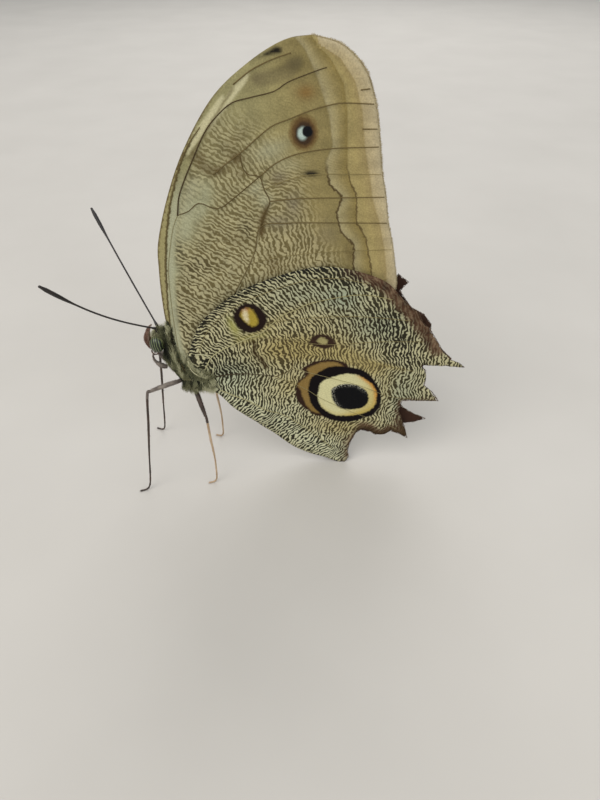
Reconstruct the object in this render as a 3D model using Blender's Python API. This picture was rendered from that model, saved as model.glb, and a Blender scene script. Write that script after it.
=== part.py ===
"""Owl butterfly at rest, life size: wings closed over the back, standing on its four walking legs.

The head points to -X and the hindwing tails to +X. The left side of the animal is -Y. +Z is up and
the floor is Z = 0. All lengths below are millimetres; make_node turns them into metres.
"""
import math

import bmesh
import bpy
from mathutils import Vector
from mathutils.geometry import delaunay_2d_cdt

MM = 0.001

# Plates and gaps
WING_THICK = 0.5
RIDGE_HEIGHT = 0.22
RIDGE_HALF_WIDTH = 0.45
PART_GAP = 0.3
WING_BASE_Y = 0.75
HINDWING_LIFT = 1.1
HINDWING_LOW_LIFT = 0.3
LATTICE_FINE = 2.4
LATTICE_COARSE = 4.1
FINE_REACH = 9.0

# Body axis in the X-Z plane: x, z, half thickness, half width
NECK = (-27.0, 40.0)
WAIST = (-20.2, 30.7)
NECK_NORMAL = (-0.66, 0.75)
WAIST_NORMAL = (0.66, -0.75)
THORAX = [
    (-27.0, 40.0, 1.9, 1.8),
    (-26.3, 39.0, 3.5, 3.1),
    (-25.1, 37.5, 4.2, 3.7),
    (-23.4, 35.4, 4.5, 4.0),
    (-22.0, 33.3, 4.3, 3.8),
    (-20.9, 31.7, 3.6, 3.1),
    (-20.2, 30.7, 2.7, 2.4),
]
ABDOMEN = [
    (-20.0, 30.5, 2.6, 2.3),
    (-18.2, 29.4, 3.0, 2.6),
    (-15.5, 27.7, 3.2, 2.8),
    (-12.9, 26.0, 3.2, 2.85),
    (-10.4, 24.1, 3.2, 2.8),
    (-8.2, 22.1, 3.0, 2.65),
    (-6.2, 20.1, 2.7, 2.4),
    (-4.6, 18.2, 2.1, 1.9),
    (-3.4, 16.6, 1.3, 1.2),
]
HEAD = [
    (0.0, 1.7, 1.6),
    (0.7, 2.25, 1.95),
    (1.7, 2.6, 2.2),
    (2.9, 2.55, 2.15),
    (4.0, 2.05, 1.8),
    (4.8, 1.2, 1.1),
    (5.1, 0.45, 0.45),
]
BODY_RING = 24
BODY_STEP = 0.9
SEGMENT_LENGTH = 2.6
SEGMENT_GROOVE = 0.14

EYE_CENTRE = (-29.9, 1.95, 41.15)
EYE_RADII = (1.75, 1.45, 2.15)

# Antennae, palps, coiled tongue
ANTENNA_BASE = (-29.85, 0.75, 44.9)
ANTENNA_BOW = {-1: (-0.6, -0.5, -1.1), 1: (-0.4, 0.4, 0.2)}
ANTENNA_TIP = (-45.72, 19.0, 66.5)
ANTENNA_SHAFT = 0.27
ANTENNA_CLUB = 0.5
PALP_PATH = [(-31.4, 0.8, 38.9), (-32.2, 0.9, 40.5), (-32.5, 0.95, 42.2), (-32.1, 0.9, 43.8), (-31.3, 0.8, 44.9)]
PALP_RADII = [0.35, 0.6, 0.65, 0.5, 0.22]
COIL_CENTRE = (-31.1, 37.6)
COIL_OUTER = 1.1
COIL_INNER = 0.3
COIL_TURNS = 1.6
COIL_TUBE = 0.2

# Walking legs: hip, knee, ankle, foot; the foot lies on the floor with its toe forward
MID_LEG = [(-25.2, 2.3, 30.4), (-28.6, 5.4, 31.2), (-31.7, 8.0, 31.5), (-32.6, 8.75, 30.9), (-33.6, 9.6, 22.0),
           (-34.8, 10.6, 12.0), (-35.5, 11.15, 5.4), (-36.1, 11.6, 1.6), (-37.0, 12.0, 0.36), (-38.6, 12.6, 0.28)]
MID_RADII = [0.62, 0.7, 0.6, 0.5, 0.42, 0.38, 0.34, 0.34, 0.38, 0.38]
HIND_LEG = [(-22.3, 1.9, 28.5), (-20.9, 5.0, 26.4), (-19.4, 7.6, 23.5), (-19.0, 8.1, 22.3), (-18.6, 8.5, 16.0),
            (-18.1, 8.8, 10.0), (-18.05, 8.9, 4.9), (-18.2, 9.0, 1.6), (-18.9, 9.2, 0.36), (-20.3, 9.6, 0.28)]
HIND_RADII = [0.62, 0.7, 0.6, 0.5, 0.42, 0.38, 0.34, 0.34, 0.38, 0.38]
FORE_LEG = [(-28.4, 1.5, 34.1), (-29.7, 1.7, 34.6), (-31.0, 1.85, 36.0), (-31.4, 1.95, 37.4), (-31.2, 2.0, 38.2)]
FORE_RADII = [0.5, 0.6, 0.6, 0.45, 0.3]

# Wing outlines, seen from the left side
FORE_COSTA = [(-24.0, 31.2), (-25.0, 35.3), (-25.9, 39.5), (-27.0, 47.0), (-27.1, 53.4), (-26.7, 60.6),
              (-25.9, 67.0), (-22.6, 76.8), (-18.1, 86.3), (-11.7, 95.6), (-4.7, 101.4), (1.7, 104.9), (6.7, 105.7)]
FORE_OUTER = [(6.7, 105.7), (12.0, 104.2), (16.4, 100.3), (18.8, 94.4), (20.2, 87.3), (21.0, 82.2), (22.2, 77.2),
              (23.2, 71.8), (24.5, 67.0), (25.5, 62.6), (26.4, 57.4), (26.1, 54.3)]
FORE_DORSUM = [(26.1, 54.3), (18.0, 52.0), (8.0, 49.0), (-4.0, 44.0), (-13.0, 39.2), (-19.0, 34.6), (-21.6, 31.4),
               (-24.0, 31.2)]
HIND_COSTA = [(-21.4, 31.6), (-22.8, 35.9), (-22.1, 39.5), (-20.6, 43.9), (-18.0, 48.1), (-11.3, 54.2), (-3.8, 58.1),
              (4.7, 61.0), (11.0, 61.8), (17.9, 60.5), (24.3, 57.8), (28.7, 53.1)]
HIND_WORN_MARGIN = [(28.7, 53.1), (30.5, 51.2), (32.4, 49.8), (33.8, 46.8), (35.5, 45.3), (36.9, 43.3), (38.5, 40.7),
                    (39.7, 38.8), (42.3, 35.8), (44.3, 35.0), (46.0, 33.6), (41.5, 34.1), (36.6, 34.2), (34.7, 34.5),
                    (36.4, 32.6), (36.8, 29.8), (36.6, 27.8), (38.9, 25.7), (41.0, 22.6), (37.9, 22.7), (34.6, 22.7),
                    (31.6, 22.7), (30.9, 19.1), (32.4, 15.5), (33.4, 12.7), (34.3, 9.3), (32.2, 10.7), (29.6, 11.9),
                    (28.0, 10.7), (25.2, 10.5), (23.7, 12.2), (21.8, 13.1), (20.2, 11.7), (18.7, 7.8), (18.1, 3.9),
                    (18.5, 1.9), (17.6, 0.0)]
HIND_TOOTHED_MARGIN = [(26.6, 56.6), (27.2, 58.0), (29.8, 55.9), (28.0, 53.6), (31.0, 49.6), (34.3, 47.7), (36.4, 44.9),
                       (36.6, 41.2), (39.5, 38.0), (43.0, 34.6), (40.6, 34.0), (36.2, 32.6), (35.2, 28.6), (36.8, 25.0),
                       (38.0, 22.8), (33.6, 22.4), (31.0, 20.6), (32.6, 18.4), (35.6, 16.2), (39.1, 14.4),
                       (36.1, 13.2), (33.2, 12.8), (30.6, 11.2), (28.2, 9.0), (25.6, 9.6), (23.4, 9.6), (21.6, 10.2),
                       (20.0, 8.8), (18.6, 4.8), (18.1, 2.0), (17.6, 0.0)]
HIND_FOOT = [(17.6, 0.0), (15.6, 0.0)]
HIND_INNER = [(15.6, 0.0), (11.8, 1.9), (7.2, 3.7), (2.5, 6.6), (-2.1, 11.1), (-5.5, 14.2), (-7.3, 16.8), (-10.1, 19.8),
              (-12.7, 22.7), (-15.3, 26.5), (-18.6, 29.7), (-21.4, 31.6)]

# Main veins, each from its stem outwards
FORE_VEINS = [
    [(-23.9, 38.0), (-25.3, 45.0), (-25.9, 53.0), (-25.3, 61.0), (-23.4, 70.0), (-19.6, 80.0), (-14.4, 89.0),
     (-7.0, 97.0), (1.0, 102.3)],
    [(-21.8, 40.0), (-23.0, 47.0), (-23.0, 56.0), (-21.4, 65.0), (-18.0, 75.0), (-12.6, 84.5), (-8.6, 91.0),
     (-2.7, 96.4), (3.1, 98.7), (9.5, 100.6)],
    [(-12.6, 84.5), (-8.0, 86.0), (-3.0, 89.0), (2.2, 92.0), (5.9, 93.3), (11.4, 94.7), (16.6, 94.6)],
    [(-8.0, 86.0), (-3.3, 81.2), (-2.6, 78.6), (-1.5, 76.1), (-2.5, 73.8), (-3.6, 70.7)],
    [(-3.3, 81.2), (-0.4, 83.6), (3.9, 85.5), (10.8, 86.6), (17.9, 86.9)],
    [(-2.6, 78.6), (2.7, 80.6), (8.1, 81.6), (19.0, 81.6)],
    [(-1.5, 76.1), (4.9, 76.7), (15.8, 76.9), (20.2, 77.0)],
    [(-20.6, 37.6), (-15.4, 46.0), (-9.8, 55.5), (-6.4, 62.0), (-5.0, 65.4), (-3.6, 70.7), (2.0, 71.4), (8.3, 71.5),
     (21.4, 71.6)],
    [(-6.4, 62.0), (0.0, 63.6), (10.0, 64.8), (22.8, 65.4)],
    [(-17.0, 38.2), (-6.0, 45.6), (8.0, 51.6), (18.0, 55.4), (24.4, 58.4)],
]
HIND_VEINS = [
    [(-19.8, 40.0), (-16.6, 46.0), (-10.0, 51.8), (-2.0, 55.8), (6.0, 58.4), (13.0, 59.0), (20.0, 57.6)],
    [(-18.6, 35.4), (-16.7, 38.4), (-12.1, 41.3), (-7.7, 43.4), (-3.3, 47.2), (2.0, 50.8), (8.0, 53.6), (18.0, 55.0),
     (26.0, 53.6)],
    [(-3.3, 47.2), (6.0, 48.6), (18.0, 49.0), (31.0, 47.4)],
    [(-7.7, 43.4), (1.0, 42.6), (10.6, 40.6), (24.0, 41.4), (34.8, 41.4)],
    [(1.0, 42.6), (2.2, 38.6), (2.6, 33.4), (-1.6, 30.7)],
    [(2.2, 38.6), (10.0, 37.2), (19.0, 35.2), (26.0, 34.8), (33.0, 34.8)],
    [(2.6, 33.4), (14.0, 29.4), (25.4, 26.4), (34.0, 24.6)],
    [(-16.2, 32.5), (-11.7, 32.2), (-6.0, 31.6), (-1.6, 30.7), (2.6, 28.3), (6.5, 26.1), (11.9, 22.4), (20.7, 18.2),
     (27.0, 14.9), (31.2, 12.6)],
    [(-15.4, 28.6), (-13.2, 27.3), (-8.6, 24.8), (-2.9, 20.2), (1.2, 17.3), (8.0, 11.6), (14.2, 5.0)],
]
RIGHT_FOREWING_TURN = math.radians(-0.3)

COLOURS = {
    "wing": (0.42, 0.36, 0.20, 1.0),
    "hindwing": (0.36, 0.33, 0.20, 1.0),
    "fur": (0.24, 0.25, 0.16, 1.0),
    "eye": (0.03, 0.06, 0.04, 1.0),
    "antenna": (0.02, 0.015, 0.012, 1.0),
    "leg": (0.16, 0.11, 0.07, 1.0),
    "palp": (0.32, 0.2, 0.15, 1.0),
}


def clear_scene():
    for item in list(bpy.data.objects):
        bpy.data.objects.remove(item, do_unlink=True)
    for mesh in list(bpy.data.meshes):
        bpy.data.meshes.remove(mesh)


def material(slot, rough):
    found = bpy.data.materials.get(slot)
    if found:
        return found
    made = bpy.data.materials.new(slot)
    made.use_nodes = True
    shader = made.node_tree.nodes.get("Principled BSDF")
    shader.inputs["Base Color"].default_value = COLOURS[slot]
    shader.inputs["Roughness"].default_value = rough
    made.diffuse_color = COLOURS[slot]
    return made


def make_node(name, verts, faces, slot, rough=0.7):
    """One closed body from millimetre points."""
    mesh = bpy.data.meshes.new(name)
    mesh.from_pydata([(x * MM, y * MM, z * MM) for x, y, z in verts], [], faces)
    work = bmesh.new()
    work.from_mesh(mesh)
    bmesh.ops.triangulate(work, faces=work.faces[:])
    bmesh.ops.recalc_face_normals(work, faces=work.faces[:])
    if work.calc_volume(signed=True) < 0:
        bmesh.ops.reverse_faces(work, faces=work.faces[:])
    work.to_mesh(mesh)
    work.free()
    mesh.materials.append(material(slot, rough))
    node = bpy.data.objects.new(name, mesh)
    bpy.context.scene.collection.objects.link(node)
    return node


def smooth_path(points, step):
    """A Catmull-Rom curve through the points, about one sample every step.

    A row of four numbers is a place x, z with two half sizes, so its length counts the place only.
    """
    pts = [Vector(p).copy() for p in points]
    ends = [pts[0] * 2 - pts[1]] + pts + [pts[-1] * 2 - pts[-2]]
    path = []
    for i in range(1, len(ends) - 2):
        a, b, c, d = ends[i - 1], ends[i], ends[i + 1], ends[i + 2]
        span = (c - b).to_2d() if len(c) == 4 else c - b
        count = max(1, round(span.length / step))
        for k in range(count):
            t = k / count
            path.append(0.5 * ((2 * b) + (c - a) * t + (2 * a - 5 * b + 4 * c - d) * t * t
                               + (3 * b - a - 3 * c + d) * t * t * t))
    path.append(pts[-1])
    return path


def smoothstep(low, high, value):
    t = min(1.0, max(0.0, (value - low) / (high - low)))
    return t * t * (3 - 2 * t)


def body_samples():
    samples = []
    for rows in (THORAX, ABDOMEN):
        for (x0, z0, c0, b0), (x1, z1, c1, b1) in zip(rows, rows[1:]):
            for k in range(4):
                t = k / 4
                samples.append((x0 + (x1 - x0) * t, z0 + (z1 - z0) * t, c0 + (c1 - c0) * t, b0 + (b1 - b0) * t))
    return samples


BODY_SAMPLES = body_samples()


def wing_rise(x, z):
    """Half distance between the two middle faces of a pair of wings: close together, out round the body."""
    rise = 0.0
    for sx, sz, thick, width in BODY_SAMPLES:
        t = math.hypot(x - sx, z - sz) / thick
        rise = max(rise, (width + PART_GAP + WING_THICK * 0.6 - WING_BASE_Y) / (1 + (t / 1.35) ** 4))
    return WING_BASE_Y + max(0.0, rise)


def fore_height(x, z):
    return wing_rise(x, z)


def above_dorsum(x, z):
    """Signed distance above the forewing's hind edge."""
    best = 1e9
    sign = 1.0
    for (x0, z0), (x1, z1) in zip(FORE_DORSUM, FORE_DORSUM[1:-1]):
        dx, dz = x1 - x0, z1 - z0
        t = min(1.0, max(0.0, ((x - x0) * dx + (z - z0) * dz) / (dx * dx + dz * dz)))
        away = math.hypot(x - x0 - dx * t, z - z0 - dz * t)
        if away < best:
            best = away
            sign = 1.0 if dz * (x - x0) - dx * (z - z0) > 0 else -1.0
    return best * sign


def hind_height(x, z):
    cover = smoothstep(-9.0, -1.0, above_dorsum(x, z))
    cover = max(cover, smoothstep(22.0, 26.0, x) * smoothstep(50.0, 54.0, z))
    return wing_rise(x, z) + HINDWING_LOW_LIFT + (HINDWING_LIFT - HINDWING_LOW_LIFT) * cover


def point_to_line(p, line):
    best = 1e9
    for a, b in zip(line, line[1:]):
        d = b - a
        t = min(1.0, max(0.0, (p - a).dot(d) / max(d.length_squared, 1e-9)))
        best = min(best, (p - a - d * t).length)
    return best


def near_body(x, z):
    return min(math.hypot(x - sx, z - sz) for sx, sz, _, _ in BODY_SAMPLES) < FINE_REACH


def inside(p, ring):
    hit = False
    for a, b in zip(ring, ring[1:] + ring[:1]):
        if (a.y > p.y) != (b.y > p.y) and p.x < (b.x - a.x) * (p.y - a.y) / (b.y - a.y) + a.x:
            hit = not hit
    return hit


def wing_lattice(ring, lines):
    """Inner points on a triangle lattice, finer round the body, clear of the edge and the veins."""
    points = []
    fine_row = LATTICE_FINE * 0.866
    rows = int(110 / fine_row)
    for j in range(rows):
        z = j * fine_row
        for i in range(int(80 / LATTICE_FINE)):
            x = -30 + (i + 0.5 * (j % 2)) * LATTICE_FINE
            fine = near_body(x, z)
            if not fine and (j % 2 or i % 2):
                continue
            p = Vector((x, z))
            room = 0.5 * (LATTICE_FINE if fine else LATTICE_COARSE)
            if not inside(p, ring) or point_to_line(p, ring + ring[:1]) < room:
                continue
            if any(point_to_line(p, line) < RIDGE_HALF_WIDTH + 0.55 * room for line in lines):
                continue
            points.append(p)
    return points


def vein_strips(veins):
    """Centre lines and both feet of every ridge, with shared points where a vein leaves its stem."""
    centres, feet = [], []
    for vein in veins:
        line = smooth_path([Vector(p) for p in vein], 3.6)
        centres.append(line)
    for line in centres:
        for side in (-1, 1):
            foot = []
            for i, p in enumerate(line):
                if i == len(line) - 1:
                    continue
                ahead = line[min(i + 1, len(line) - 1)] - line[max(i - 1, 0)]
                normal = Vector((-ahead.y, ahead.x)).normalized() * side
                q = p + normal * RIDGE_HALF_WIDTH
                if any(other is not line and point_to_line(q, other) < RIDGE_HALF_WIDTH * 1.3 for other in centres):
                    if len(foot) > 1:
                        feet.append(foot)
                    foot = []
                    continue
                foot.append(q)
            if len(foot) > 1:
                feet.append(foot)
    return centres, feet


def ridge_at(p, centres):
    best = 0.0
    for line in centres:
        away = point_to_line(p, line)
        if away < RIDGE_HALF_WIDTH:
            fade = min(1.0, (p - line[-1]).length / 2.0)
            best = max(best, RIDGE_HEIGHT * (1 - away / RIDGE_HALF_WIDTH) * fade)
    return best


def wing(name, sections, veins, height, side, slot):
    """A curved plate with both faces split alike and the veins raised from its outer face."""
    ring = []
    for points, step in sections:
        part = smooth_path([Vector(p) for p in points], step) if step else [Vector(p) for p in points]
        ring += part[:-1]
    centres, feet = vein_strips(veins)
    coords, edges = list(ring), []
    for line in centres + feet:
        start = len(coords)
        coords += line
        edges += [(start + i, start + i + 1) for i in range(len(line) - 1)]
    coords += wing_lattice(ring, centres)
    loop = list(range(len(ring)))
    flat, _, tris, _, _, _ = delaunay_2d_cdt(coords, edges, [loop], 1, 0.08)
    outer, inner = [], []
    for p in flat:
        mid = height(p.x, p.y)
        raised = ridge_at(p, centres)
        outer.append((p.x, side * (mid + WING_THICK / 2 + raised), p.y))
        inner.append((p.x, side * (mid - WING_THICK / 2), p.y))
    count = len(flat)
    verts = outer + inner
    faces, used = [], {}
    for tri in tris:
        faces.append(tuple(tri))
        faces.append(tuple(count + i for i in reversed(tri)))
        for a, b in zip(tri, tri[1:] + tri[:1]):
            key = (min(a, b), max(a, b))
            used.setdefault(key, []).append((a, b))
    for hits in used.values():
        if len(hits) == 1:
            a, b = hits[0]
            faces.append((b, a, a + count))
            faces.append((b, a + count, b + count))
    return make_node(name, verts, faces, slot)


def turned(points, angle, pivot):
    c, s = math.cos(angle), math.sin(angle)
    return [(pivot[0] + (x - pivot[0]) * c - (z - pivot[1]) * s, pivot[1] + (x - pivot[0]) * s + (z - pivot[1]) * c)
            for x, z in points]


def rings_to_faces(rings):
    """Join equal rings into a closed body with flat ends."""
    verts, faces = [], []
    count = len(rings[0])
    for ring in rings:
        verts += [tuple(p) for p in ring]
    for r in range(len(rings) - 1):
        for k in range(count):
            a = r * count + k
            b = r * count + (k + 1) % count
            faces.append((a, b, b + count, a + count))
    first = len(verts)
    verts.append(tuple(sum(axis) / count for axis in zip(*rings[0])))
    verts.append(tuple(sum(axis) / count for axis in zip(*rings[-1])))
    last_ring = (len(rings) - 1) * count
    for k in range(count):
        faces.append((k, first, (k + 1) % count))
        faces.append((last_ring + k, last_ring + (k + 1) % count, first + 1))
    return verts, faces


def body_rings(rows, normals, count=BODY_RING):
    """Ovals across a spine that lies in the X-Z plane."""
    rings = []
    for (x, z, thick, width), normal in zip(rows, normals):
        n = Vector((normal[0], normal[1])).normalized()
        up = Vector((-n.y, n.x))
        ring = []
        for k in range(count):
            a = 2 * math.pi * k / count
            off = up * (thick * math.cos(a))
            ring.append((x + off.x, width * math.sin(a), z + off.y))
        rings.append(ring)
    return rings


def spine_normals(rows, first, last):
    normals = []
    for i in range(len(rows)):
        a, b = rows[max(i - 1, 0)], rows[min(i + 1, len(rows) - 1)]
        normals.append((b[0] - a[0], b[1] - a[1]))
    if first:
        normals[0] = first
    if last:
        normals[-1] = last
    return normals


def tube(path, radii, count=8, floor=False):
    """A round tube along a path, radii spread evenly along the given points."""
    frames = []
    side = Vector((0, 1, 0))
    for i, p in enumerate(path):
        ahead = (path[min(i + 1, len(path) - 1)] - path[max(i - 1, 0)]).normalized()
        across = side - ahead * side.dot(ahead)
        if across.length < 0.05:
            across = Vector((1, 0, 0)) - ahead * ahead.x
        across.normalize()
        side = across
        frames.append((p, across, ahead.cross(across)))
    rings = []
    for (p, across, up), radius in zip(frames, radii):
        ring = []
        for k in range(count):
            a = 2 * math.pi * k / count
            q = p + across * (radius * math.cos(a)) + up * (radius * math.sin(a))
            if floor:
                q.z = max(0.0, q.z)
            ring.append(q)
        rings.append(ring)
    return rings_to_faces(rings)


def mirrored(points, side):
    return [Vector((x, y * side, z)) for x, y, z in points]


def spread_radii(radii, points, path):
    """Radii for a resampled path from the radii at its control points."""
    marks = []
    for p in points:
        marks.append(min(range(len(path)), key=lambda i: (path[i] - p).length))
    out = []
    for i in range(len(path)):
        for k in range(len(marks) - 1):
            if marks[k] <= i <= marks[k + 1]:
                span = max(1, marks[k + 1] - marks[k])
                out.append(radii[k] + (radii[k + 1] - radii[k]) * (i - marks[k]) / span)
                break
    return out


def leg(name, points, radii, side, slot, step=2.6):
    control = mirrored(points, side)
    path = smooth_path(control, step)
    verts, faces = tube(path, spread_radii(radii, control, path), 8, True)
    return make_node(name, verts, faces, slot)


def cut(target, cutter_verts, cutter_faces):
    """Take a closed shape out of a node."""
    tool = make_node("cutter", cutter_verts, cutter_faces, "fur")
    tool.hide_render = True
    tool.display_type = "WIRE"
    step = target.modifiers.new("cut", "BOOLEAN")
    step.operation = "DIFFERENCE"
    step.solver = "EXACT"
    step.object = tool
    graph = bpy.context.evaluated_depsgraph_get()
    shaped = bpy.data.meshes.new_from_object(target.evaluated_get(graph))
    target.modifiers.clear()
    work = bmesh.new()
    work.from_mesh(shaped)
    bmesh.ops.remove_doubles(work, verts=work.verts[:], dist=0.04 * MM)
    bmesh.ops.dissolve_degenerate(work, edges=work.edges[:], dist=0.02 * MM)
    bmesh.ops.triangulate(work, faces=work.faces[:])
    work.to_mesh(shaped)
    work.free()
    target.data = shaped
    bpy.data.objects.remove(tool, do_unlink=True)


def ellipsoid(centre, radii, rings=9, count=16):
    verts, faces = [], []
    for r in range(1, rings):
        lat = math.pi * r / rings
        for k in range(count):
            a = 2 * math.pi * k / count
            verts.append((centre[0] + radii[0] * math.sin(lat) * math.cos(a), centre[1] + radii[1] * math.cos(lat),
                          centre[2] + radii[2] * math.sin(lat) * math.sin(a)))
    for r in range(rings - 2):
        for k in range(count):
            a, b = r * count + k, r * count + (k + 1) % count
            faces.append((a, b, b + count, a + count))
    top, low = len(verts), len(verts) + 1
    verts += [(centre[0], centre[1] + radii[1], centre[2]), (centre[0], centre[1] - radii[1], centre[2])]
    for k in range(count):
        faces.append((k, top, (k + 1) % count))
        faces.append(((rings - 2) * count + k, (rings - 2) * count + (k + 1) % count, low))
    return verts, faces


def build_head():
    n = Vector(NECK_NORMAL).normalized()
    start = Vector(NECK) + n * PART_GAP
    rows = [(start.x + n.x * s, start.y + n.y * s, thick, width) for s, thick, width in HEAD]
    rings = body_rings(rows, [tuple(n)] * len(rows))
    verts, faces = rings_to_faces(rings)
    head = make_node("head", verts, faces, "fur")
    for side in (-1, 1):
        socket = tuple(r + PART_GAP for r in EYE_RADII)
        centre = (EYE_CENTRE[0], EYE_CENTRE[1] * side, EYE_CENTRE[2])
        cut(head, *ellipsoid(centre, socket))
        name = "eye_left" if side < 0 else "eye_right"
        make_node(name, *ellipsoid(centre, EYE_RADII, 10, 18), "eye", 0.2)


def build_mouth():
    for side, word in ((-1, "left"), (1, "right")):
        control = mirrored(PALP_PATH, side)
        path = smooth_path(control, 0.8)
        verts, faces = tube(path, spread_radii(PALP_RADII, control, path), 10)
        make_node("palp_" + word, verts, faces, "palp")
    path = []
    steps = 34
    for i in range(steps + 1):
        t = i / steps
        angle = math.radians(60) + 2 * math.pi * COIL_TURNS * t
        radius = COIL_OUTER + (COIL_INNER - COIL_OUTER) * t
        path.append(Vector((COIL_CENTRE[0] + radius * math.cos(angle), 0.0, COIL_CENTRE[1] + radius * math.sin(angle))))
    radii = [COIL_TUBE * (1.0 - 0.45 * i / steps) for i in range(steps + 1)]
    verts, faces = tube(path, radii, 6)
    make_node("proboscis", verts, faces, "antenna")


def build_antennae():
    for side, word in ((-1, "left"), (1, "right")):
        base = Vector((ANTENNA_BASE[0], ANTENNA_BASE[1] * side, ANTENNA_BASE[2]))
        tip = Vector((ANTENNA_TIP[0], ANTENNA_TIP[1] * side, ANTENNA_TIP[2]))
        bow = Vector(ANTENNA_BOW[side])
        path, radii = [], []
        steps = 22
        for i in range(steps + 1):
            t = i / steps
            path.append(base.lerp(tip, t) + bow * math.sin(math.pi * t))
            club = smoothstep(0.68, 0.86, t) * (1 - smoothstep(0.93, 1.0, t) * 0.75)
            swell = 0.16 * (1 - smoothstep(0.0, 0.06, t))
            radii.append(ANTENNA_SHAFT + swell + (ANTENNA_CLUB - ANTENNA_SHAFT) * club)
        verts, faces = tube(path, radii, 8)
        make_node("antenna_" + word, verts, faces, "antenna", 0.5)


def smooth_rows(rows, step):
    path = smooth_path(rows, step)
    return [tuple(p) for p in path]


def segmented(rows):
    """Shallow grooves between the rings of the abdomen."""
    grooved, run = [rows[0]], 0.0
    for before, row in zip(rows, rows[1:]):
        run += math.hypot(row[0] - before[0], row[1] - before[1])
        dip = SEGMENT_GROOVE * max(0.0, math.cos(2 * math.pi * run / SEGMENT_LENGTH)) ** 2
        grooved.append((row[0], row[1], row[2] - dip, row[3] - dip))
    return grooved


def build_body():
    thorax_rows = smooth_rows(THORAX, BODY_STEP)
    normals = spine_normals(thorax_rows, (-NECK_NORMAL[0], -NECK_NORMAL[1]), WAIST_NORMAL)
    verts, faces = rings_to_faces(body_rings(thorax_rows, normals))
    make_node("thorax", verts, faces, "fur")
    n = Vector(WAIST_NORMAL).normalized()
    first = (WAIST[0] + n.x * PART_GAP, WAIST[1] + n.y * PART_GAP)
    rows = [(first[0], first[1], ABDOMEN[0][2], ABDOMEN[0][3])] + ABDOMEN[1:]
    rows = segmented(smooth_rows(rows, BODY_STEP))
    verts, faces = rings_to_faces(body_rings(rows, spine_normals(rows, WAIST_NORMAL, None)))
    make_node("abdomen", verts, faces, "fur")


def build_legs():
    for side, word in ((-1, "left"), (1, "right")):
        leg("foreleg_" + word, FORE_LEG, FORE_RADII, side, "leg", 0.9)
        leg("midleg_" + word, MID_LEG, MID_RADII, side, "leg")
        leg("hindleg_" + word, HIND_LEG, HIND_RADII, side, "leg")


def build_wings():
    fore = [FORE_COSTA, FORE_OUTER, FORE_DORSUM]
    wing("forewing_left", [(s, 2.4) for s in fore], FORE_VEINS, fore_height, -1, "wing")
    pivot = FORE_COSTA[0]
    fore_right = [(turned(s, RIGHT_FOREWING_TURN, pivot), 2.4) for s in fore]
    veins_right = [turned(v, RIGHT_FOREWING_TURN, pivot) for v in FORE_VEINS]
    wing("forewing_right", fore_right, veins_right, fore_height, 1, "wing")
    for side, margin, word in ((-1, HIND_WORN_MARGIN, "left"), (1, HIND_TOOTHED_MARGIN, "right")):
        costa = HIND_COSTA if side < 0 else HIND_COSTA[:-1] + [margin[0]]
        sections = [(costa, 2.4), (margin, 0), (HIND_FOOT, 0), (HIND_INNER, 2.2)]
        wing("hindwing_" + word, sections, HIND_VEINS, hind_height, side, "hindwing")


clear_scene()
build_body()
build_head()
build_mouth()
build_antennae()
build_legs()
build_wings()
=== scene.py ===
"""Owl butterfly at rest, life size: wings closed over the back, standing on its four walking legs.

The head points to -X and the hindwing tails to +X. The left side of the animal is -Y, +Z is up and
the floor is Z = 0. Lengths below are millimetres, and each piece is turned into metres as it is made.
"""

import math

import bmesh
import bpy
import numpy as np
from mathutils import Matrix, Vector


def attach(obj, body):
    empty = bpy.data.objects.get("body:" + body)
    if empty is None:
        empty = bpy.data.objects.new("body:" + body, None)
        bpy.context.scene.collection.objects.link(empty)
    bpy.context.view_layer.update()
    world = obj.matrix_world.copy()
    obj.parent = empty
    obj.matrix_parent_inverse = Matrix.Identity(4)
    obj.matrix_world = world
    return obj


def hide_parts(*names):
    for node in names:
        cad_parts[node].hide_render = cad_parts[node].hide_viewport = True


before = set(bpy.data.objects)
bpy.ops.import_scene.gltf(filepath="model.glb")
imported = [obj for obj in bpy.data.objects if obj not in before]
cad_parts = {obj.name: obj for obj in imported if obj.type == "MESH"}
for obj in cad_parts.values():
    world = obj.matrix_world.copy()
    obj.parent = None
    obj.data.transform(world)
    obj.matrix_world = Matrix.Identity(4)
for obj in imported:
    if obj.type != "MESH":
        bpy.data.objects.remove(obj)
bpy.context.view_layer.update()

MM = 0.001
LEFT, RIGHT = -1, 1
SIDES = ((LEFT, "left"), (RIGHT, "right"))


# Studio: camera, materials, floor and light

# The photograph's viewing angle: place in metres, focal length on a 36 mm wide sensor, turn up from
# straight down
CAMERA_PLACE = (0.0047, -0.122, 0.1243)
CAMERA_LENS = 27.045
CAMERA_TILT = math.radians(50.0)
# Each soft light's place and width in metres, power in watts, and tint
LIGHTS = [
    ("key", (-0.45, -0.55, 0.85), 0.9, 7.4, (1.0, 0.98, 0.95)),
    ("fill", (0.75, -0.6, 0.5), 0.9, 2.9, (0.93, 0.97, 1.0)),
    ("back", (0.1, 0.8, 0.7), 0.8, 4.1, (1.0, 1.0, 1.0))]
LIGHT_AIM = Vector((0.0, 0.0, 0.05))
SKY_COLOUR, SKY_STRENGTH = "#E6EAEC", 0.61
FLOOR_REACH = 8.0
# The output that a node gives back where it isn't its first
MAIN_OUTPUT = {"Mix": 2, "Attribute": "Fac"}


def put_in_scene(name, data):
    made = bpy.data.objects.new(name, data)
    bpy.context.scene.collection.objects.link(made)
    return made


def make_camera():
    lens = bpy.data.cameras.new("camera")
    lens.sensor_width = 36.0
    lens.lens = CAMERA_LENS
    lens.clip_start = 0.005
    lens.clip_end = 20.0
    camera = put_in_scene("camera", lens)
    camera.location = CAMERA_PLACE
    camera.rotation_euler = (CAMERA_TILT, 0.0, 0.0)
    bpy.context.scene.camera = camera


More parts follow.
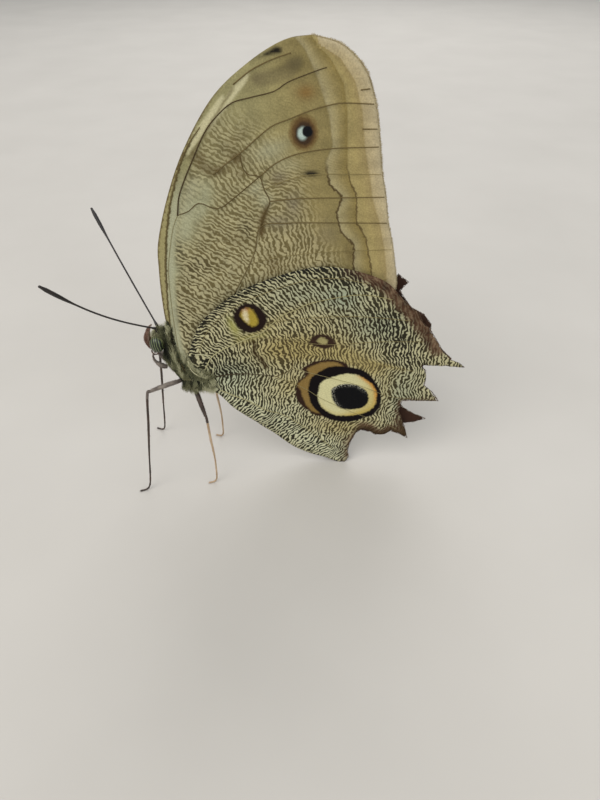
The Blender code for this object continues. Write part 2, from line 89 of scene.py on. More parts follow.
def linear(hex_colour):
    """An sRGB hex value as the linear colour that Blender's sockets take."""
    parts = [int(hex_colour[i:i + 2], 16) / 255 for i in (1, 3, 5)]
    return tuple(c / 12.92 if c <= 0.04045 else ((c + 0.055) / 1.055) ** 2.4 for c in parts) + (1.0,)


def feed(material, node, inputs):
    """Sets a node's inputs: a socket is linked, a hex value becomes a colour, a number goes in as it is."""
    for key, value in inputs.items():
        if isinstance(value, bpy.types.NodeSocket):
            material.node_tree.links.new(value, node.inputs[key])
        else:
            node.inputs[key].default_value = linear(value) if isinstance(value, str) else value


def add(material, kind, inputs=None, **settings):
    """One node of a material, with its settings, values and incoming links; gives back its main output."""
    node = material.node_tree.nodes.new("ShaderNode" + kind)
    for key, value in settings.items():
        setattr(node, key, value)
    feed(material, node, inputs or {})
    return node.outputs[MAIN_OUTPUT.get(kind, 0)] if node.outputs else None


def new_material(name):
    """An empty material with its surface shader, and its place in millimetres on object coordinates."""
    material = bpy.data.materials.new(name)
    material.use_nodes = True
    material.node_tree.nodes.clear()
    surface = add(material, "BsdfPrincipled")
    add(material, "OutputMaterial", {"Surface": surface})
    place = add(material, "TexCoord").node.outputs["Object"]
    millimetres = add(material, "VectorMath", {0: place, "Scale": 1.0 / MM}, operation="SCALE")
    return material, surface.node, millimetres


def ramp(colour, stops, smooth=True):
    """Sets the stops of the ramp that gives this colour: position, colour and, where given, cover."""
    band = colour.node.color_ramp
    band.interpolation = "EASE" if smooth else "LINEAR"
    while len(band.elements) > 1:
        band.elements.remove(band.elements[-1])
    for i, (position, shade, *cover) in enumerate(stops):
        mark = band.elements.new(position) if i else band.elements[0]
        mark.position = position
        mark.color = linear(shade)[:3] + tuple(cover or (1.0,))
    return colour


def make_floor():
    # Matt studio paper: a faint cloudiness keeps it from looking like empty space
    material, shader, place = new_material("studio_paper")
    cloud = add(material, "TexNoise", {"Vector": place, "Scale": 0.02, "Detail": 3.0})
    tone = add(material, "Mix", {0: cloud, 6: "#BDB8B1", 7: "#C8C3BC"}, data_type="RGBA")
    feed(material, shader, {"Base Color": tone, "Roughness": 0.9})
    work = bmesh.new()
    bmesh.ops.create_grid(work, x_segments=4, y_segments=4, size=FLOOR_REACH)
    mesh = bpy.data.meshes.new("floor")
    work.to_mesh(mesh)
    work.free()
    mesh.materials.append(material)
    put_in_scene("floor", mesh)


def make_lights():
    for name, place, width, power, tint in LIGHTS:
        lamp = bpy.data.lights.new(name, "AREA")
        lamp.shape = "DISK"
        lamp.size = width
        lamp.energy = power
        lamp.color = tint
        light = put_in_scene(name, lamp)
        light.location = place
        light.rotation_euler = (LIGHT_AIM - Vector(place)).to_track_quat("-Z", "Y").to_euler()
    studio = bpy.data.worlds.new("studio")
    studio.use_nodes = True
    sky = studio.node_tree.nodes["Background"]
    sky.inputs["Color"].default_value = linear(SKY_COLOUR)
    sky.inputs["Strength"].default_value = SKY_STRENGTH
    bpy.context.scene.world = studio
    bpy.context.scene.view_settings.view_transform = "Standard"


make_camera()
make_floor()
make_lights()


# Shared shapes

def smooth_path(points, step, closed=False):
    """A smooth curve through the points, about one sample every step."""
    pts = [Vector(p) for p in points]
    if closed:
        ends = pts[-1:] + pts + pts[:2]
    else:
        ends = [pts[0] * 2 - pts[1]] + pts + [pts[-1] * 2 - pts[-2]]
    path = []
    for a, b, c, d in zip(ends, ends[1:], ends[2:], ends[3:]):
        count = max(1, round((c - b).length / step))
        for k in range(count):
            t = k / count
            path.append(0.5 * ((2 * b) + (c - a) * t + (2 * a - 5 * b + 4 * c - d) * t * t
                               + (3 * b - a - 3 * c + d) * t * t * t))
    return path if closed else path + [pts[-1]]


def smoothstep(low, high, value):
    t = np.clip((value - low) / (high - low), 0.0, 1.0)
    return t * t * (3 - 2 * t)


def even(points, step):
    """Points spaced evenly along a line that may have corners; the corners stay."""
    out = []
    for a, b in zip(points, points[1:]):
        a, b = Vector(a), Vector(b)
        count = max(1, round((b - a).length / step))
        out += [a.lerp(b, k / count) for k in range(count)]
    return out + [Vector(points[-1])]


def line_distance(places, line):
    """Distance of each place to a line of points, on which side it is, and how far along the line."""
    pts = np.array([tuple(p)[:2] for p in line], float)
    a, d = pts[:-1], np.diff(pts, axis=0)
    length = np.maximum(np.hypot(d[:, 0], d[:, 1]), 1e-9)
    start = np.concatenate([[0.0], np.cumsum(length)[:-1]])
    best = np.full(len(places), 1e9)
    sign = np.ones(len(places))
    along = np.zeros(len(places))
    for (ax, az), (dx, dz), size, begun in zip(a, d, length, start):
        t = np.clip(((places[:, 0] - ax) * dx + (places[:, 1] - az) * dz) / size ** 2, 0, 1)
        px, pz = places[:, 0] - ax - dx * t, places[:, 1] - az - dz * t
        away = np.hypot(px, pz)
        near = away < best
        best[near] = away[near]
        sign[near] = np.where(dx * (places[:, 1] - az) - dz * (places[:, 0] - ax) > 0, 1.0, -1.0)[near]
        along[near] = (begun + t * size)[near]
    return best, sign, along


def inside(places, ring):
    """Which places lie inside a closed ring."""
    pts = np.array([tuple(p)[:2] for p in ring], float)
    hit = np.zeros(len(places), bool)
    for (ax, az), (bx, bz) in zip(pts, np.roll(pts, -1, axis=0)):
        if az == bz:
            continue
        cross = ((az > places[:, 1]) != (bz > places[:, 1])) & (
            places[:, 0] < (bx - ax) * (places[:, 1] - az) / (bz - az) + ax)
        hit ^= cross
    return hit


RING_REACH = 2.0


def ring_depth(places, points):
    """Depth of each place in mm inside a smooth ring through the points; less than nothing outside it."""
    ring = smooth_path(points, 0.35, closed=True)
    away = line_distance(places, ring + ring[:1])[0]
    return np.clip(np.where(inside(places, ring), away, -away), -RING_REACH, RING_REACH)


def blot(places, x, z, wide, high, lean=0.0):
    """A soft spot: 1 in its middle, fading over its half width and half height."""
    c, s = math.cos(math.radians(lean)), math.sin(math.radians(lean))
    u = ((places[:, 0] - x) * c + (places[:, 1] - z) * s) / wide
    v = (-(places[:, 0] - x) * s + (places[:, 1] - z) * c) / high
    return np.exp(-(u * u + v * v))


def blots(places, rows):
    """Soft spots added up: each row has its place, half width, half height, strength and perhaps a lean."""
    return sum(strength * blot(places, x, z, wide, high, *lean) for x, z, wide, high, strength, *lean in rows)


def streak(places, line, half_width):
    """A soft line along the points."""
    return np.exp(-(line_distance(places, line)[0] / half_width) ** 2)


def dress(name, mesh, replaced=()):
    """A finished mesh as a piece of the animal, standing for the CAD nodes that it replaces."""
    piece = put_in_scene(name, mesh)
    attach(piece, "root")
    if replaced:
        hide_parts(*replaced)
    return piece


def finish_piece(name, work, materials, replaced):
    """A piece from a mesh in millimetres, at the origin, riding on the body."""
    bmesh.ops.scale(work, vec=(MM, MM, MM), verts=work.verts[:])
    mesh = bpy.data.meshes.new(name)
    work.to_mesh(mesh)
    work.free()
    for material in materials:
        mesh.materials.append(material)
    mesh.shade_smooth()
    return dress(name, mesh, replaced)


def put_values(mesh, name, values):
    layer = mesh.attributes.new(name, "FLOAT", "POINT")
    layer.data.foreach_set("value", np.asarray(values, np.float32))


def loft(sections, count):
    """A ring drawn out along sections, each a place and the two half axes of its oval, closed at its ends."""
    def seat(section):
        centre, across, up = (Vector(v) for v in section)
        seat_matrix = Matrix((across, up, across.cross(up).normalized())).transposed().to_4x4()
        seat_matrix.translation = centre
        return seat_matrix

    work = bmesh.new()
    bmesh.ops.create_circle(work, segments=count, radius=1.0, matrix=seat(sections[0]))
    first = edges = work.edges[:]
    for before, after in zip(sections, sections[1:]):
        drawn = bmesh.ops.extrude_edge_only(work, edges=edges)["geom"]
        verts = [g for g in drawn if isinstance(g, bmesh.types.BMVert)]
        edges = [g for g in drawn if isinstance(g, bmesh.types.BMEdge)]
        bmesh.ops.transform(work, matrix=seat(after) @ seat(before).inverted(), verts=verts)
    for end in (first, edges):
        bmesh.ops.contextual_create(work, geom=end)
    bmesh.ops.recalc_face_normals(work, faces=work.faces[:])
    return work


def tube_sections(path, radii, flat=1.0, side=(0, 1, 0)):
    """Oval sections along a path; flat squeezes the tube across its side."""
    side = Vector(side)
    out = []
    for i, p in enumerate(path):
        ahead = (path[min(i + 1, len(path) - 1)] - path[max(i - 1, 0)]).normalized()
        side = side - ahead * side.dot(ahead)
        if side.length < 0.05:
            side = Vector((1, 0, 0)) - ahead * ahead.x
        side.normalize()
        out.append((p, side * radii[i] * flat, ahead.cross(side) * radii[i]))
    return out


# Body axis and the wings' rise

PART_GAP = 0.3
WING_THICK = 0.5
WING_BASE_Y = 0.75
HINDWING_LIFT = 1.1
HINDWING_LOW_LIFT = 0.3

# x, z, half thickness, half width
THORAX = [
    (-27.0, 40.0, 1.9, 1.8), (-26.3, 39.0, 3.5, 3.1), (-25.1, 37.5, 4.2, 3.7), (-23.4, 35.4, 4.5, 4.0),
    (-22.0, 33.3, 4.3, 3.8), (-20.9, 31.7, 3.6, 3.1), (-20.2, 30.7, 2.7, 2.4)]
ABDOMEN = [
    (-20.0, 30.5, 2.6, 2.3), (-18.2, 29.4, 3.0, 2.6), (-15.5, 27.7, 3.2, 2.8), (-12.9, 26.0, 3.2, 2.85),
    (-10.4, 24.1, 3.2, 2.8), (-8.2, 22.1, 3.0, 2.65), (-6.2, 20.1, 2.7, 2.4), (-4.6, 18.2, 2.1, 1.9),
    (-3.4, 16.6, 1.3, 1.2)]


def body_samples():
    samples = []
    for rows in (THORAX, ABDOMEN):
        for a, b in zip(rows, rows[1:]):
            samples += [tuple(p + (q - p) * k / 4 for p, q in zip(a, b)) for k in range(4)]
    return samples


BODY_SAMPLES = body_samples()

FORE_COSTA = [
    (-24.0, 31.2), (-25.0, 35.3), (-25.9, 39.5), (-27.0, 47.0), (-27.1, 53.4), (-26.7, 60.6), (-25.9, 67.0),
    (-22.6, 76.8), (-18.1, 86.3), (-11.7, 95.6), (-4.7, 101.4), (1.7, 104.9), (6.7, 105.7)]
FORE_OUTER = [
    (6.7, 105.7), (12.0, 104.2), (16.4, 100.3), (18.8, 94.4), (20.2, 87.3), (21.0, 82.2), (22.2, 77.2),
    (23.2, 71.8), (24.5, 67.0), (25.5, 62.6), (26.4, 57.4), (26.1, 54.3)]
FORE_DORSUM = [
    (26.1, 54.3), (18.0, 52.0), (8.0, 49.0), (-4.0, 44.0), (-13.0, 39.2), (-19.0, 34.6), (-21.6, 31.4),
    (-24.0, 31.2)]
HIND_COSTA = [
    (-21.4, 31.6), (-22.8, 35.9), (-22.1, 39.5), (-20.6, 43.9), (-18.0, 48.1), (-11.3, 54.2), (-3.8, 58.1),
    (4.7, 61.0), (11.0, 61.8), (17.9, 60.5), (24.3, 57.8), (28.7, 53.1)]
HIND_WORN_MARGIN = [
    (28.7, 53.1), (30.5, 51.2), (32.4, 49.8), (33.8, 46.8), (35.5, 45.3), (36.9, 43.3), (38.5, 40.7),
    (39.7, 38.8), (42.3, 35.8), (44.3, 35.0), (46.0, 33.6), (41.5, 34.1), (36.6, 34.2), (34.7, 34.5),
    (36.4, 32.6), (36.8, 29.8), (36.6, 27.8), (38.9, 25.7), (41.0, 22.6), (37.9, 22.7), (34.6, 22.7),
    (31.6, 22.7), (30.9, 19.1), (32.4, 15.5), (33.4, 12.7), (34.3, 9.3), (32.2, 10.7), (29.6, 11.9),
    (28.0, 10.7), (25.2, 10.5), (23.7, 12.2), (21.8, 13.1), (20.2, 11.7), (18.7, 7.8), (18.1, 3.9),
    (18.5, 1.9), (17.6, 0.0)]
HIND_TOOTHED_MARGIN = [
    (26.6, 56.6), (27.2, 58.0), (29.8, 55.9), (28.0, 53.6), (31.0, 49.6), (34.3, 47.7), (36.4, 44.9),
    (36.6, 41.2), (39.5, 38.0), (43.0, 34.6), (40.6, 34.0), (36.2, 32.6), (35.2, 28.6), (36.8, 25.0),
    (38.0, 22.8), (33.6, 22.4), (31.0, 20.6), (32.6, 18.4), (35.6, 16.2), (39.1, 14.4), (36.1, 13.2),
    (33.2, 12.8), (30.6, 11.2), (28.2, 9.0), (25.6, 9.6), (23.4, 9.6), (21.6, 10.2), (20.0, 8.8),
    (18.6, 4.8), (18.1, 2.0), (17.6, 0.0)]
HIND_FOOT = [(17.6, 0.0), (15.6, 0.0)]
HIND_INNER = [
    (15.6, 0.0), (11.8, 1.9), (7.2, 3.7), (2.5, 6.6), (-2.1, 11.1), (-5.5, 14.2), (-7.3, 16.8),
    (-10.1, 19.8), (-12.7, 22.7), (-15.3, 26.5), (-18.6, 29.7), (-21.4, 31.6)]

# Veins: name of the look, and points from the stem outwards
FORE_VEINS = [
    ("brown", [(-23.3, 35.0), (-24.6, 38.9), (-25.6, 41.8), (-26.1, 46.0), (-26.0, 50.8), (-25.6, 56.0),
        (-25.1, 61.0), (-24.0, 68.0), (-22.2, 75.3), (-19.7, 82.0), (-18.0, 85.6), (-16.6, 87.8),
        (-14.4, 90.5)]),
    ("faint", [(-22.3, 36.5), (-24.0, 40.0), (-25.0, 45.0), (-25.1, 52.0), (-24.6, 60.1), (-23.4, 66.0),
        (-22.1, 70.6), (-20.9, 73.1)]),
    ("brown", [(-7.5, 97.9), (-4.4, 100.1), (-1.9, 101.3), (0.4, 102.2), (3.1, 103.0)]),
    ("brown", [(15.9, 97.0), (17.6, 97.2)]),
    ("brown", [(16.6, 90.2), (19.5, 90.2)]),
    ("dark", [(-20.9, 73.1), (-20.1, 77.0), (-18.5, 80.6), (-16.8, 83.8), (-13.7, 89.4), (-11.0, 92.5),
        (-8.0, 94.8), (-4.6, 95.7), (0.0, 96.8), (2.5, 98.3), (7.5, 100.1), (9.5, 100.7)]),
    ("brown", [(-12.6, 81.6), (-10.2, 83.5), (-6.4, 86.2), (-3.4, 88.7), (-0.5, 90.8), (2.7, 92.0),
        (6.4, 93.4), (10.1, 94.4), (12.9, 94.8), (18.5, 94.6)]),
    ("brown", [(-20.6, 37.6), (-15.4, 46.0), (-9.8, 55.5), (-6.4, 62.0), (-5.0, 65.4), (-3.6, 70.7),
        (2.0, 71.4), (8.3, 71.5), (23.0, 71.4)]),
    ("faint", [(-17.0, 38.2), (-6.0, 45.6), (8.0, 51.6), (18.0, 55.4), (24.4, 58.4)]),
    ("brown", [(-3.3, 81.2), (-0.4, 83.6), (3.9, 85.5), (10.8, 86.6), (20.0, 86.9)]),
    ("faint", [(-2.6, 78.6), (2.7, 80.6), (8.1, 81.6), (20.9, 81.6)]),
    ("brown", [(-1.5, 76.1), (4.9, 76.7), (15.8, 76.9), (22.0, 77.0)]),
    ("faint", [(-6.4, 62.0), (0.0, 63.6), (10.0, 64.8), (24.6, 65.4)]),
    ("cross", [(-7.1, 85.6), (-6.6, 82.7), (-5.4, 81.5), (-3.4, 81.2), (-2.6, 78.6), (-1.5, 76.1),
        (-2.5, 73.8), (-3.6, 70.7)]),
    ("cross", [(-21.0, 73.1), (-18.5, 74.0), (-16.2, 75.7), (-13.4, 74.7), (-11.6, 74.8), (-9.6, 76.2),
        (-6.2, 78.9), (-3.4, 81.2)])]
HIND_VEINS = [
    ("pale", [(-18.6, 35.4), (-16.7, 38.4), (-12.3, 40.8), (-9.9, 41.9), (-7.1, 43.3), (-4.4, 44.6),
        (-2.4, 46.5), (0.7, 49.4), (4.0, 51.0), (7.7, 52.8), (18.0, 54.8), (26.0, 53.6)]),
    ("dark", [(-16.2, 32.5), (-11.7, 32.2), (-6.0, 31.6), (-1.6, 31.0)]),
    ("fine", [(-1.6, 31.0), (3.5, 28.3), (6.8, 26.3), (9.7, 23.9), (14.8, 20.8), (18.7, 18.7), (22.7, 16.9),
        (27.0, 14.9), (31.2, 12.6)]),
    ("pale", [(-15.4, 28.6), (-13.2, 27.3), (-8.6, 24.8), (-2.9, 20.2), (1.2, 17.3), (8.0, 11.6),
        (14.2, 5.0)]),
    ("faint", [(-19.8, 40.0), (-16.6, 46.0), (-10.0, 51.8), (-2.0, 55.8), (6.0, 58.4), (13.0, 59.0),
        (20.0, 57.6)]),
    ("faint", [(-3.3, 47.2), (6.0, 48.6), (18.0, 49.0), (31.0, 47.4)]),
    ("faint", [(-7.1, 43.3), (1.0, 42.6), (10.6, 40.6), (24.0, 41.4), (34.8, 41.4)]),
    ("faint", [(2.2, 38.6), (10.0, 37.0), (15.8, 35.4), (23.0, 34.8), (27.5, 33.8), (33.6, 32.4)]),
    ("fine", [(2.6, 33.4), (9.0, 31.4), (16.9, 28.9), (20.7, 27.5), (25.4, 25.3), (28.0, 24.2),
        (33.6, 23.4)]),
    ("cross", [(1.0, 42.6), (2.2, 38.6), (2.6, 33.4), (-1.6, 30.7)]),
    ("loop", [(-20.5, 39.8), (-18.9, 39.6), (-17.3, 38.4), (-16.4, 36.2), (-17.0, 33.0)]),
    ("loop", [(-22.2, 38.8), (-21.8, 36.6), (-20.4, 34.7), (-18.2, 33.2)])]
# The ways along which the forewing's ripples are counted, above its mid vein and below it: the count in mm
# at the first point, and the points
MID_VEIN = [
    (-24.0, 32.0), (-20.6, 37.6), (-15.4, 46.0), (-9.8, 55.5), (-6.4, 62.0), (-5.0, 65.4), (-3.6, 70.7),
    (2.0, 71.4), (8.3, 71.5), (27.0, 71.4)]
LOW_GUIDES = [
    (16.3, [(-16.0, 44.0), (-8.0, 50.0), (0.0, 54.0), (10.0, 57.0), (24.0, 60.0)]),
    (28.8, [(-8.0, 60.0), (-2.0, 63.0), (6.0, 65.0), (16.0, 66.0), (24.0, 66.5)])]
FORE_GUIDES = [
    (3.0, [(-26.0, 38.0), (-16.0, 52.0), (-6.0, 64.0), (4.0, 74.0), (14.0, 80.0)]),
    (23.8, [(-24.0, 62.0), (-16.0, 76.0), (-8.0, 84.0), (2.0, 90.0), (14.0, 93.0)]),
    (42.5, [(-20.0, 82.0), (-12.0, 91.0), (-2.0, 97.0), (8.0, 100.0)])]
HIND_RIPPLE_CENTRE = (-26.0, 31.5)
RIGHT_FOREWING_TURN = math.radians(-0.3)


def wing_rise(places):
    """Half distance between the two middle faces of a pair of wings: close together, out round the body."""
    rise = np.zeros(len(places))
    for sx, sz, thick, width in BODY_SAMPLES:
        t = np.hypot(places[:, 0] - sx, places[:, 1] - sz) / thick
        rise = np.maximum(rise, (width + PART_GAP + WING_THICK * 0.6 - WING_BASE_Y) / (1 + (t / 1.35) ** 4))
    return WING_BASE_Y + rise


def hind_height(places):
    away, sign, _ = line_distance(places, FORE_DORSUM[:-1])
    cover = smoothstep(-9.0, -1.0, -away * sign)
    cover = np.maximum(cover, smoothstep(22.0, 26.0, places[:, 0]) * smoothstep(50.0, 54.0, places[:, 1]))
    return wing_rise(places) + HINDWING_LOW_LIFT + (HINDWING_LIFT - HINDWING_LOW_LIFT) * cover


# Wing materials

# Distance from ripple to ripple, in mm
HIND_RIPPLE_PITCH = 0.88
FORE_RIPPLE_PITCH = 1.0
# What shakes the ripples' course: the noise's scale per mm, and by how much of a turn in radians
RIPPLE_SHAKES = ((0.2, 13.0), (0.55, 8.0), (1.3, 5.4))


def ripples(material, place, pitch):
    """Wavy, forking cross ripples of scales: the sine of the run along the veins, shaken and cut by noise."""
    run = add(material, "Attribute", attribute_name="run")
    turns = add(material, "Math", {0: run, 1: 2 * math.pi / pitch}, operation="MULTIPLY")
    for scale, shake in RIPPLE_SHAKES:
        noise = add(material, "TexNoise", {"Vector": place, "Scale": scale, "Detail": 0.0})
        turns = add(material, "Math", {0: noise, 1: shake, 2: turns}, operation="MULTIPLY_ADD")
    wave = add(material, "Math", {0: turns}, operation="SINE")
    cuts = add(material, "TexNoise", {"Vector": place, "Scale": 1.25, "Detail": 1.0})
    return add(material, "Math", {0: cuts, 1: 3.6, 2: wave}, operation="MULTIPLY_ADD")


def wash(material, colour, marks):
    """Lays each marking's colour over the ground, by how strongly the named attribute shows it there."""
    for name, top in marks:
        amount = add(material, "Attribute", attribute_name=name)
        colour = add(material, "Mix", {0: amount, 6: colour, 7: top}, data_type="RGBA")
    return colour


def uneven(material, place, scale):
    """Noise about nought, which frays the edges of the markings."""
    noise = add(material, "TexNoise", {"Vector": place, "Scale": scale, "Detail": 2.0})
    return add(material, "Math", {0: noise, 1: 0.5}, operation="SUBTRACT")


def lay_rings(material, colour, rings, shake):
    """The eyespots' rings, each inside the one before, by their depth in mm and with slightly frayed rims."""
    for name, top, soft in rings:
        depth = add(material, "Attribute", attribute_name=name)
        frayed = add(material, "Math", {0: shake, 1: 0.7, 2: depth}, operation="MULTIPLY_ADD")
        cover = add(material, "MapRange", {0: frayed, 1: -soft, 2: soft})
        colour = add(material, "Mix", {0: cover, 6: colour, 7: top}, data_type="RGBA")
    return colour


def draw_lines(material, colour, lines, shake):
    """Fine dark lines of scales where the named distance in mm passes nought, as far as each is shown."""
    for name, shown, half_width, ink in lines:
        past = add(material, "Attribute", attribute_name=name)
        past = add(material, "Math", {0: shake, 1: 1.1, 2: past}, operation="MULTIPLY_ADD")
        away = add(material, "Math", {0: past}, operation="ABSOLUTE")
        strength = add(material, "Attribute", attribute_name=shown)
        cover = add(material, "MapRange", {0: away, 1: half_width * 0.3, 2: half_width, 3: strength, 4: 0.0})
        colour = add(material, "Mix", {0: cover, 6: colour, 7: ink}, data_type="RGBA")
    return colour


def scale_finish(material, shader, place, colour, relief, rough):
    """Rows of flat dry scales: matt, with a grain the size of scale rows drawn coarse."""
    grain = add(material, "TexNoise", {"Vector": place, "Scale": 3.2, "Detail": 2.0})
    tone = add(material, "MapRange", {0: grain, 1: 0.25, 2: 0.75, 3: 0.84, 4: 1.16})
    toned = add(material, "VectorMath", {0: colour, "Scale": tone}, operation="SCALE")
    height = add(material, "Math", {0: grain, 1: 0.5, 2: relief}, operation="MULTIPLY_ADD")
    bump = add(material, "Bump", {"Height": height, "Strength": 0.35, "Distance": 0.00008})
    feed(material, shader, {"Base Color": toned, "Normal": bump, "Roughness": rough,
                            "Specular IOR Level": 0.12})


def hindwing_scales():
    # Dry wing scales in rippled rows: matt, cream and near black, washed with olive yellow and grey green
    material, shader, place = new_material("hindwing_scales_rippled")
    wave = ripples(material, place, HIND_RIPPLE_PITCH)
    shake = uneven(material, place, 1.5)
    cream = wash(material, "#B7B08A", [("yellow", "#AE9F6A"), ("green", "#999F86"), ("bright", "#C6C6A4")])
    # the black attribute darkens the ripples: the dark markings, and painted shade along the costal edge
    # where the hindwing lies over the forewing
    dark = wash(material, "#35301D", [("yellow", "#50452A"), ("black", "#12120F"), ("bright", "#24221A")])
    black = add(material, "Attribute", attribute_name="black")
    limit = add(material, "MapRange", {0: black, 3: 1.85, 4: 2.4})
    lower = add(material, "Math", {0: limit, 1: 0.5}, operation="SUBTRACT")
    upper = add(material, "Math", {0: limit, 1: 0.5}, operation="ADD")
    stripe = add(material, "MapRange", {0: wave, 1: lower, 2: upper}, interpolation_type="SMOOTHSTEP")
    middle = add(material, "Mix", {0: 0.5, 6: dark, 7: cream}, data_type="RGBA")
    rippled = add(material, "Mix", {0: stripe, 6: dark, 7: cream}, data_type="RGBA")
    shown = add(material, "Attribute", attribute_name="ripple")
    colour = add(material, "Mix", {0: shown, 6: middle, 7: rippled}, data_type="RGBA")
    # the worn rim: rust brown, clouded, with the ripples still showing faintly through
    cloud = add(material, "TexNoise", {"Vector": place, "Scale": 0.45, "Detail": 3.0})
    rust = ramp(add(material, "ValToRGB", {0: cloud}),
                [(0.3, "#36231A"), (0.5, "#4C3425"), (0.7, "#6F5743")])
    rust = add(material, "Mix", {0: 0.1, 6: rust, 7: colour}, data_type="RGBA")
    colour = wash(material, colour, [("rust", rust), ("brown", "#33240F"), ("lime", "#A19D58")])
    # the cream ring runs from pale cream to gold, and the pupil has loose white scales on its upper rim
    warm = add(material, "Attribute", attribute_name="ring_gold")
    ring = wash(material, "#CBC596", [("ring_gold", "#B7A35C"), ("ring_orange", "#BD8638")])
    specks = add(material, "TexNoise", {"Vector": place, "Scale": 4.0, "Detail": 0.0})
    specks = add(material, "MapRange", {0: specks, 1: 0.56, 2: 0.62})
    dusted = add(material, "Attribute", attribute_name="dusted")
    specks = add(material, "Math", {0: specks, 1: dusted}, operation="MULTIPLY")
    pupil = add(material, "Mix", {0: specks, 6: "#09090B", 7: "#B9B7A4"}, data_type="RGBA")
    gold = add(material, "Mix", {0: warm, 6: "#836A3B", 7: "#77602F"}, data_type="RGBA")
    upper = add(material, "Mix", {0: warm, 6: "#A18C36", 7: "#A4704C"}, data_type="RGBA")
    colour = lay_rings(material, colour, [
        ("halo", "#2E1D14", 0.25), ("gold", gold, 0.3), ("great_ring", "#0D0709", 0.22),
        ("cream_ring", ring, 0.25), ("pupil", pupil, 0.2), ("upper_ring", "#1E120E", 0.3),
        ("upper_gold", upper, 0.35), ("upper_streak", "#CFC3A0", 0.45), ("small_ring", "#34241A", 0.3),
        ("small_centre", "#9F9565", 0.3)], shake)
    scale_finish(material, shader, place, colour, stripe, 0.8)
    return material


# The forewing's spot: soft brown halo, dark ring, bluish white crescent and black pupil, each with its
# middle, its half width and half height in mm, and its colours outwards
FORE_SPOTS = [
    ((5.4, 89.5), (3.1, 3.7), [(0.0, "#4E3822"), (0.7, "#5C4528", 0.95), (0.88, "#705A34", 0.6),
                               (1.0, "#7E6C42", 0.0)]),
    ((5.5, 89.4), (2.1, 2.5), [(0.0, "#33241A"), (0.75, "#3E2E1F"), (1.0, "#4F3B24", 0.0)]),
    ((5.2, 89.4), (1.3, 1.6), [(0.0, "#B9C8C0"), (0.6, "#A3B3AA"), (1.0, "#55554A", 0.0)]),
    ((6.1, 89.75), (1.15, 1.2), [(0.0, "#0B0D11"), (0.75, "#111216"), (1.0, "#26241F", 0.0)]),
]


def forewing_scales():
    # Dry wing scales: soft brown ripples towards the root and smooth tan bands along the outer edge
    material, shader, place = new_material("forewing_scales_banded")
    wave = ripples(material, place, FORE_RIPPLE_PITCH)
    ground = wash(material, "#908A63", [("warm", "#8E8052"), ("green", "#9E9D7D")])
    dark = wash(material, "#665B3A", [("black", "#3A321F")])
    stripe = add(material, "MapRange", {0: wave, 1: 1.1, 2: 2.45}, interpolation_type="SMOOTHSTEP")
    pale = add(material, "Mix", {0: 0.55, 6: ground, 7: "#B3A986"}, data_type="RGBA")
    rippled = add(material, "Mix", {0: stripe, 6: dark, 7: pale}, data_type="RGBA")
    shown = add(material, "Attribute", attribute_name="ripple")
    colour = add(material, "Mix", {0: shown, 6: ground, 7: rippled}, data_type="RGBA")
    # the smooth bands outside the ripples, from the wavy dark line to the margin
    zone = add(material, "Attribute", attribute_name="zone")
    zone = add(material, "MapRange", {0: zone, 1: -1.0, 2: 3.0})
    bands = ramp(add(material, "ValToRGB", {0: zone}), [
        (0.0, "#85784F", 0.0), (0.14, "#85784F", 0.7), (0.24, "#82754B"), (0.262, "#9A8F6A"),
        (0.32, "#978B63"), (0.40, "#8A7C51"), (0.49, "#837344"), (0.515, "#98895B"), (0.60, "#9C8C5C"),
        (0.73, "#96855A"), (0.765, "#AC9C76"), (1.0, "#B0A282")], smooth=False)
    cloud = add(material, "TexNoise", {"Vector": place, "Scale": 0.3, "Detail": 3.0})
    tone = add(material, "MapRange", {0: cloud, 1: 0.3, 2: 0.7, 3: 0.88, 4: 1.1})
    mottle = add(material, "TexNoise", {"Vector": place, "Scale": 0.8, "Detail": 2.0})
    tone = add(material, "Math", {0: mottle, 1: 0.34, 2: tone}, operation="MULTIPLY_ADD")
    tone = add(material, "Math", {0: tone, 1: 0.15}, operation="SUBTRACT")
    cover = bands.node.outputs["Alpha"]
    colour = add(material, "Mix", {0: cover, 6: colour, 7: bands}, data_type="RGBA")
    colour = add(material, "VectorMath", {0: colour, "Scale": tone}, operation="SCALE")
    colour = wash(material, colour, [
        ("olive", "#5B5131"), ("grey_brown", "#6C6246"), ("rust_blotch", "#7E5F32"), ("grey", "#6E6656"),
        ("brown", "#544426"), ("green_pale", "#A9A98C"), ("cream", "#BFB892"), ("costal", "#9A9064"),
        ("dark_mark", "#1E1A14")])
    shake = uneven(material, place, 1.1)
    colour = draw_lines(material, colour, [
        ("past_in", "in_shown", 0.34, "#4A3B22"), ("past_out", "out_shown", 0.26, "#54452A"),
        ("past_strip", "strip_shown", 0.34, "#4F4226"), ("from_costa", "costa_shown", 0.45, "#5A4B2E")],
        shake)
    for (x, z), (wide, high), stops in FORE_SPOTS:
        local = add(material, "Mapping", {"Vector": place, "Location": (x, 0, z), "Scale": (wide, 1e6, high)},
                    vector_type="TEXTURE")
        away = add(material, "VectorMath", {0: local}, operation="LENGTH").node.outputs["Value"]
        away = add(material, "Math", {0: shake, 1: 0.25, 2: away}, operation="MULTIPLY_ADD")
        rings = ramp(add(material, "ValToRGB", {0: away}), stops, smooth=False)
        cover = rings.node.outputs["Alpha"]
        colour = add(material, "Mix", {0: cover, 6: colour, 7: rings}, data_type="RGBA")
    scale_finish(material, shader, place, colour, stripe, 0.75)
    return material


